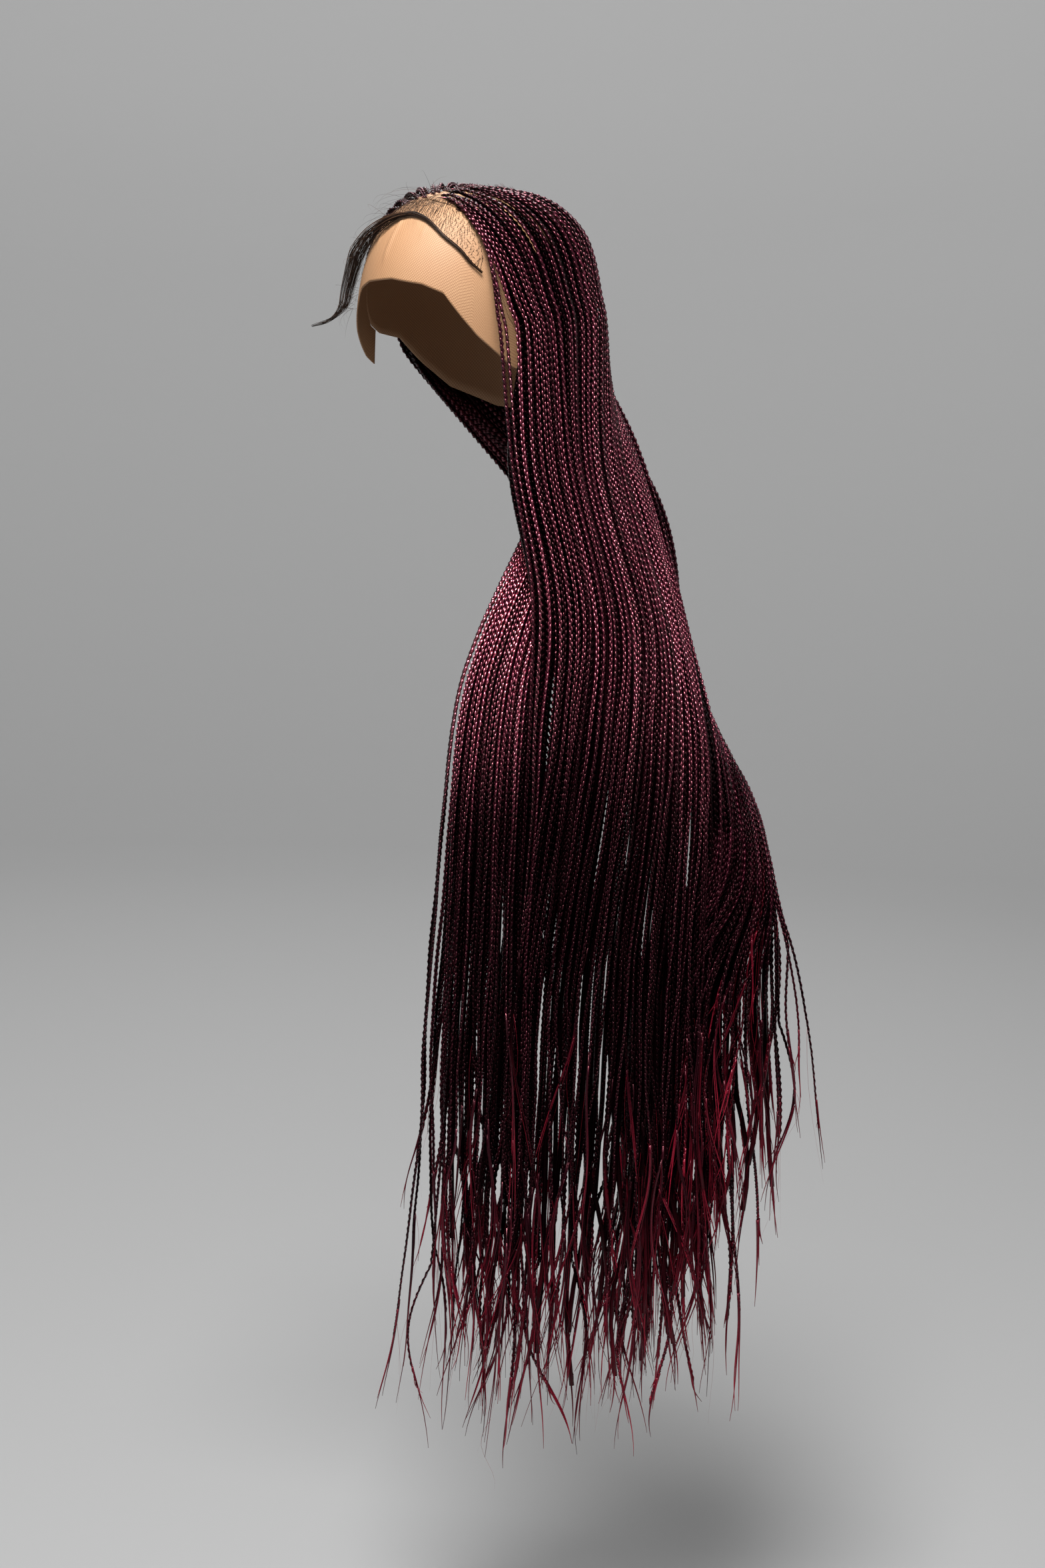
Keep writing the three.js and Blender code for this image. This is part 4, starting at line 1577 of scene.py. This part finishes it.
@dataclass
class Hairline:
    """The loose brown lock laid along the hairline, and the short hairs tied into the lace."""

    rng: np.random.Generator
    finish: HairFinish = HairFinish(
        "loose dark brown hair", roughness=0.42, gloss=0.22, gloss_tint="c8b0a0", sheen_tint="a08878"
    )
    strands: int = 84
    whole_strands: int = 26
    tied: int = 520
    tied_rows: int = 9
    flyaways: int = 70
    tones: tuple[str, ...] = ("0e0806", "1a0f0a", "24150e", "1c110c", "38231a", "523a2b")

    def build(self) -> list[Object]:
        """Make the lock and the tied hairs.

        Returns:
            The pieces.
        """
        material = self.finish.material()
        lock = MeshBatch(self.rng)
        self.lay_lock(lock)
        self.lay_flyaways(lock)
        tied = MeshBatch(self.rng)
        self.tie_hairs(tied)
        pieces = [lock.piece("hairline_lock", material), tied.piece("tied_hairs", material)]
        for piece in pieces:
            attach(piece, "root")
        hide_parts("baby_hair")
        return pieces

    def hairs(self, batch: MeshBatch, lines: list[Array], radius: Array, outs: list[Array]) -> None:
        """Add hairs to a batch.

        Args:
            batch: Where they go.
            lines: Points of each hair.
            radius: Radius along a hair.
            outs: A way across each hair at each point.
        """
        count = len(lines)
        tone = np.array([linear(code) for code in self.tones])[self.rng.integers(0, len(self.tones), count)]
        radius = np.broadcast_to(radius, (count, len(radius)))
        batch.add_tubes(np.array(lines), radius, np.array(outs), 3, tone[:, None], (1.5, 120.0))

    def lay_lock(self, batch: MeshBatch) -> None:
        """Lay the strands of the lock side by side, gathered to its free end.

        Args:
            batch: Where they go.
        """
        rng = self.rng
        points = 34
        table = HAIRLINE_LOCK
        direction = HEAD.direction(table[:, 0], table[:, 1])
        centre, normal = HEAD.lifted(direction, table[:, 2] + table[:, 4] * 0.43)
        samples, _ = smooth_curve(np.hstack([centre, normal, table[:, 3:]]), 10)
        last = len(samples) - 1
        lines, outs = [], []
        for i in range(self.strands):
            first = 0.0 if i < self.whole_strands else rng.uniform(0.02, 0.62)
            final = 1.0 if i % 4 == 0 else rng.uniform(0.72, 0.97)
            at = np.linspace(first, final, points) * last
            row = columns_at(at, np.arange(last + 1), samples)
            out = row[:, 3:6]
            across = unit(np.cross(out, unit(np.gradient(row[:, :3], axis=0))))
            turn, reach = rng.uniform(0, FULL_TURN), math.sqrt(rng.uniform(0, 1))
            wander = np.sin(np.linspace(0, rng.uniform(2, 7), points) + rng.uniform(0, 6)) * 0.3
            share = at / last
            # The lock lies close, waves near its start and arches off the temple before its free end
            loose = np.interp(share, [0, 0.3, 0.42, 0.6, 1], [0.5, 0.5, 0.55, 1.2, 1.0])
            beside = (reach * math.cos(turn) + wander) * row[:, 6] / 2 * loose
            beside += 0.9 * np.sin(share * 40) * np.interp(share, [0, 0.1, 0.4], [0, 1, 0])
            over = reach * math.sin(turn) * row[:, 7] / 2 * 0.85
            over += (i % 7) / 6 * np.interp(share, [0.42, 0.55, 0.66, 0.8, 0.92], [0, 5, 10, 7, 0])
            lines.append(row[:, :3] + across * beside[:, None] + out * over[:, None])
            outs.append(out)
        thin = np.sin(np.linspace(0.25, math.pi - 0.2, points)) ** 0.5
        self.hairs(batch, lines, 0.2 * thin, outs)

    def lay_flyaways(self, batch: MeshBatch) -> None:
        """Add fine hairs that stand off the crown and the right temple.

        Args:
            batch: Where they go.
        """
        rng = self.rng
        share = np.linspace(0, 1, 10)
        aside = np.array([0.2, 0.3, 0.93])
        lines, outs = [], []
        for i in range(self.flyaways):
            crown = i % 2 == 0
            azimuth = rng.uniform(-60, 20) if crown else rng.uniform(-62, -42)
            drop = rng.uniform(3, 24) if crown else rng.uniform(40, 100)
            sweep = rng.uniform(-20, 20) * share
            fall = rng.uniform(-6, 26) * share
            way = HEAD.direction(azimuth + sweep, np.maximum(drop + fall, 1))
            lift = 4 + rng.uniform(5, 16) * np.sin(share * rng.uniform(1.2, 2.6))
            place, normal = HEAD.lifted(way, lift)
            lines.append(place)
            outs.append(np.cross(normal, aside))
        self.hairs(batch, lines, 0.1 * (1.15 - share), outs)

    def tie_hairs(self, batch: MeshBatch) -> None:
        """Tie short hairs into the lace between the lock and the first braids, swept back.

        Args:
            batch: Where they go.
        """
        rng = self.rng
        points, laid_rows = 5, 11
        first, span = -46, 98
        long_hair, short_hair = 8.0, 3.2
        share = np.linspace(0, 1, points)
        laid = HAIRLINE_LOCK[:laid_rows]
        laid = laid[np.argsort(laid[:, 0])]
        lines, outs = [], []
        for i in range(self.tied):
            azimuth = first + span * i / self.tied + rng.normal(0, 0.2)
            low = float(np.interp(azimuth, laid[:, 0], laid[:, 1]))
            high = drop_at(CAP_EDGE, azimuth)
            row = i * 4 % self.tied_rows + 0.5 + rng.normal(0, 0.1)
            start = low + (high - low) * row / self.tied_rows
            reach = long_hair if i % 7 == 0 else short_hair
            drops = np.maximum(start - reach * rng.uniform(0.8, 1.3) * share, 2)
            turns = azimuth + rng.normal(0, 1.2) * share
            lift = 1.0 + 0.9 * np.sin(share * math.pi * 0.8)
            place, normal = HEAD.lifted(HEAD.direction(turns, drops), lift)
            lines.append(place)
            outs.append(normal)
        self.hairs(batch, lines, 0.17 * (1.2 - share), outs)


@dataclass
class Studio:
    """Pale floor, soft light and the camera. Its sizes are in metres but for those with another unit."""

    azimuth: float = math.radians(38)
    roll: float = math.radians(2.2)
    sensor_mm: float = 36.0
    focal_px: float = 5000.0
    horizon_px: float = 350.0
    camera_mm: tuple[float, float, float] = (1654.4, -2028.7, -29.8)
    floor: float = -1.13
    wall: float = 4.6
    bend: float = 1.4
    wall_high: float = 4.0
    paper: str = "b0b0b0"
    floor_paper: str = "919191"
    grain_mm: float = 0.9
    air: str = "c4c6c8"
    air_strength: float = 0.1
    # Name, place, aim, side and watts of each soft light
    softboxes: tuple[tuple, ...] = (
        ("top_softbox", (0.45, -0.8, 1.75), (0.1, -0.05, -0.25), 0.8, 108),
        ("back_softbox", (-1.7, 1.7, 2.0), (0.05, 0.05, -0.4), 1.4, 36),
        ("key_softbox", (0.9, -1.7, 1.35), (0.1, -0.07, -0.35), 1.0, 30),
        ("fill_softbox", (2.6, -0.6, 0.4), (0.1, 0, -0.5), 1.6, 6),
        ("paper_softbox", (-1.2, 1.6, 2.8), (-2.8, 3.5, -0.2), 1.8, 85),
    )

    def build(self) -> None:
        """Set up the camera, the floor and the light."""
        self.place_camera()
        self.lay_floor()
        for softbox in self.softboxes:
            self.light(*softbox)
        world = bpy.data.worlds.new("studio_air")
        world.use_nodes = True
        tree = world.node_tree
        set_inputs(tree, tree.nodes["Background"], {0: linear(self.air), 1: self.air_strength})
        bpy.context.scene.world = world
        bpy.context.scene.view_settings.view_transform = "Standard"

    def axes(self) -> tuple[Vector, Vector, Vector]:
        """Find how the camera is turned.

        Returns:
            Its right, up and viewing ways.
        """
        tilt = math.atan((IMAGE_HEIGHT / 2 - self.horizon_px) / self.focal_px)
        level = Vector((math.cos(self.azimuth), math.sin(self.azimuth), 0))
        ahead = Vector((-math.sin(self.azimuth), math.cos(self.azimuth), 0))
        up = Vector((0, 0, math.cos(tilt))) + ahead * math.sin(tilt)
        view = ahead * math.cos(tilt) - Vector((0, 0, math.sin(tilt)))
        right = level * math.cos(self.roll) + up * math.sin(self.roll)
        return right, up * math.cos(self.roll) - level * math.sin(self.roll), view

    def place_camera(self) -> None:
        """Stand the camera where the picture was taken from."""
        data = bpy.data.cameras.new("camera")
        data.sensor_fit = "VERTICAL"
        data.sensor_height = self.sensor_mm
        data.lens = self.sensor_mm * self.focal_px / IMAGE_HEIGHT
        camera = new_object("camera", data)
        right, up, view = self.axes()
        turn = Matrix((right, up, -view)).transposed().to_4x4()
        camera.matrix_world = Matrix.Translation(Vector(self.camera_mm) * MM) @ turn
        bpy.context.scene.camera = camera

    def lay_floor(self) -> None:
        """Lay a round pale floor that sweeps up to a wall on every side."""
        shape = bmesh.new()
        bmesh.ops.create_grid(shape, x_segments=96, y_segments=40, size=1.0)
        flat, arc = self.wall - self.bend, self.bend * math.pi / 2
        for vertex in shape.verts:
            turn = (vertex.co.x + 1) * math.pi
            run = (vertex.co.y + 1) / 2 * (flat + arc + self.wall_high)
            angle = min(max((run - flat) / self.bend, 0), math.pi / 2)
            reach = min(run, flat) + self.bend * math.sin(angle)
            rise = self.bend * (1 - math.cos(angle)) + max(run - flat - arc, 0)
            vertex.co = Vector((reach * math.cos(turn), reach * math.sin(turn), self.floor + rise))
        bmesh.ops.remove_doubles(shape, verts=shape.verts, dist=MM)
        smooth_object("paper_floor", shape, self.paper_material())

    def paper_material(self) -> Material:
        """Build matt studio paper: even, faintly grained and a little darker on the floor.

        Returns:
            The material.
        """
        material, tree, shader = new_material("matt studio paper")
        place = add_node(tree, "ShaderNodeTexCoord")
        fine = {"Vector": place.outputs["Object"], "Scale": 1 / (self.grain_mm * MM), "Detail": 2.0}
        grain = add_node(tree, "ShaderNodeTexNoise", fine)
        relief = {"Height": grain.outputs[0], "Strength": 0.05, "Distance": 0.2 * MM}
        bump = add_node(tree, "ShaderNodeBump", relief)
        level = add_node(tree, "ShaderNodeSeparateXYZ", {0: place.outputs["Object"]})
        limits = {0: level.outputs[2], 1: self.floor, 2: self.floor + self.bend, 3: 0.0, 4: 1.0}
        rise = add_node(tree, "ShaderNodeMapRange", limits)
        tints = {0: rise.outputs[0], 6: linear(self.floor_paper), 7: linear(self.paper)}
        tone = add_node(tree, "ShaderNodeMix", tints, data_type="RGBA")
        surface = {"Base Color": tone.outputs[2], "Normal": bump.outputs[0], "Roughness": 0.9}
        set_inputs(tree, shader, surface)
        return material

    @staticmethod
    def light(name: str, place: tuple[float, ...], aim: tuple[float, ...], size: float, watts: float) -> None:
        """Hang a square soft light.

        Args:
            name: Its name.
            place: Where it hangs.
            aim: What it points at.
            size: Its side.
            watts: Its power.
        """
        data = bpy.data.lights.new(name, "AREA")
        data.shape = "SQUARE"
        data.size = size
        data.energy = watts
        lamp = new_object(name, data)
        way = Vector(aim) - Vector(place)
        lamp.matrix_world = Matrix.Translation(place) @ way.to_track_quat("-Z", "Y").to_matrix().to_4x4()


def main() -> None:
    """Build the wig's looks, the studio and the camera."""
    logging.basicConfig(level=logging.INFO, format="%(message)s")
    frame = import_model()
    LOG.info("solids: %s", ", ".join(sorted(frame["nodes"])))
    rng = np.random.default_rng(SEED)
    Studio().build()
    pieces = Lace().build() + Hairline(rng).build() + Braids(rng).build()
    LOG.info("%d pieces", len(pieces))


if __name__ == "__main__":
    main()
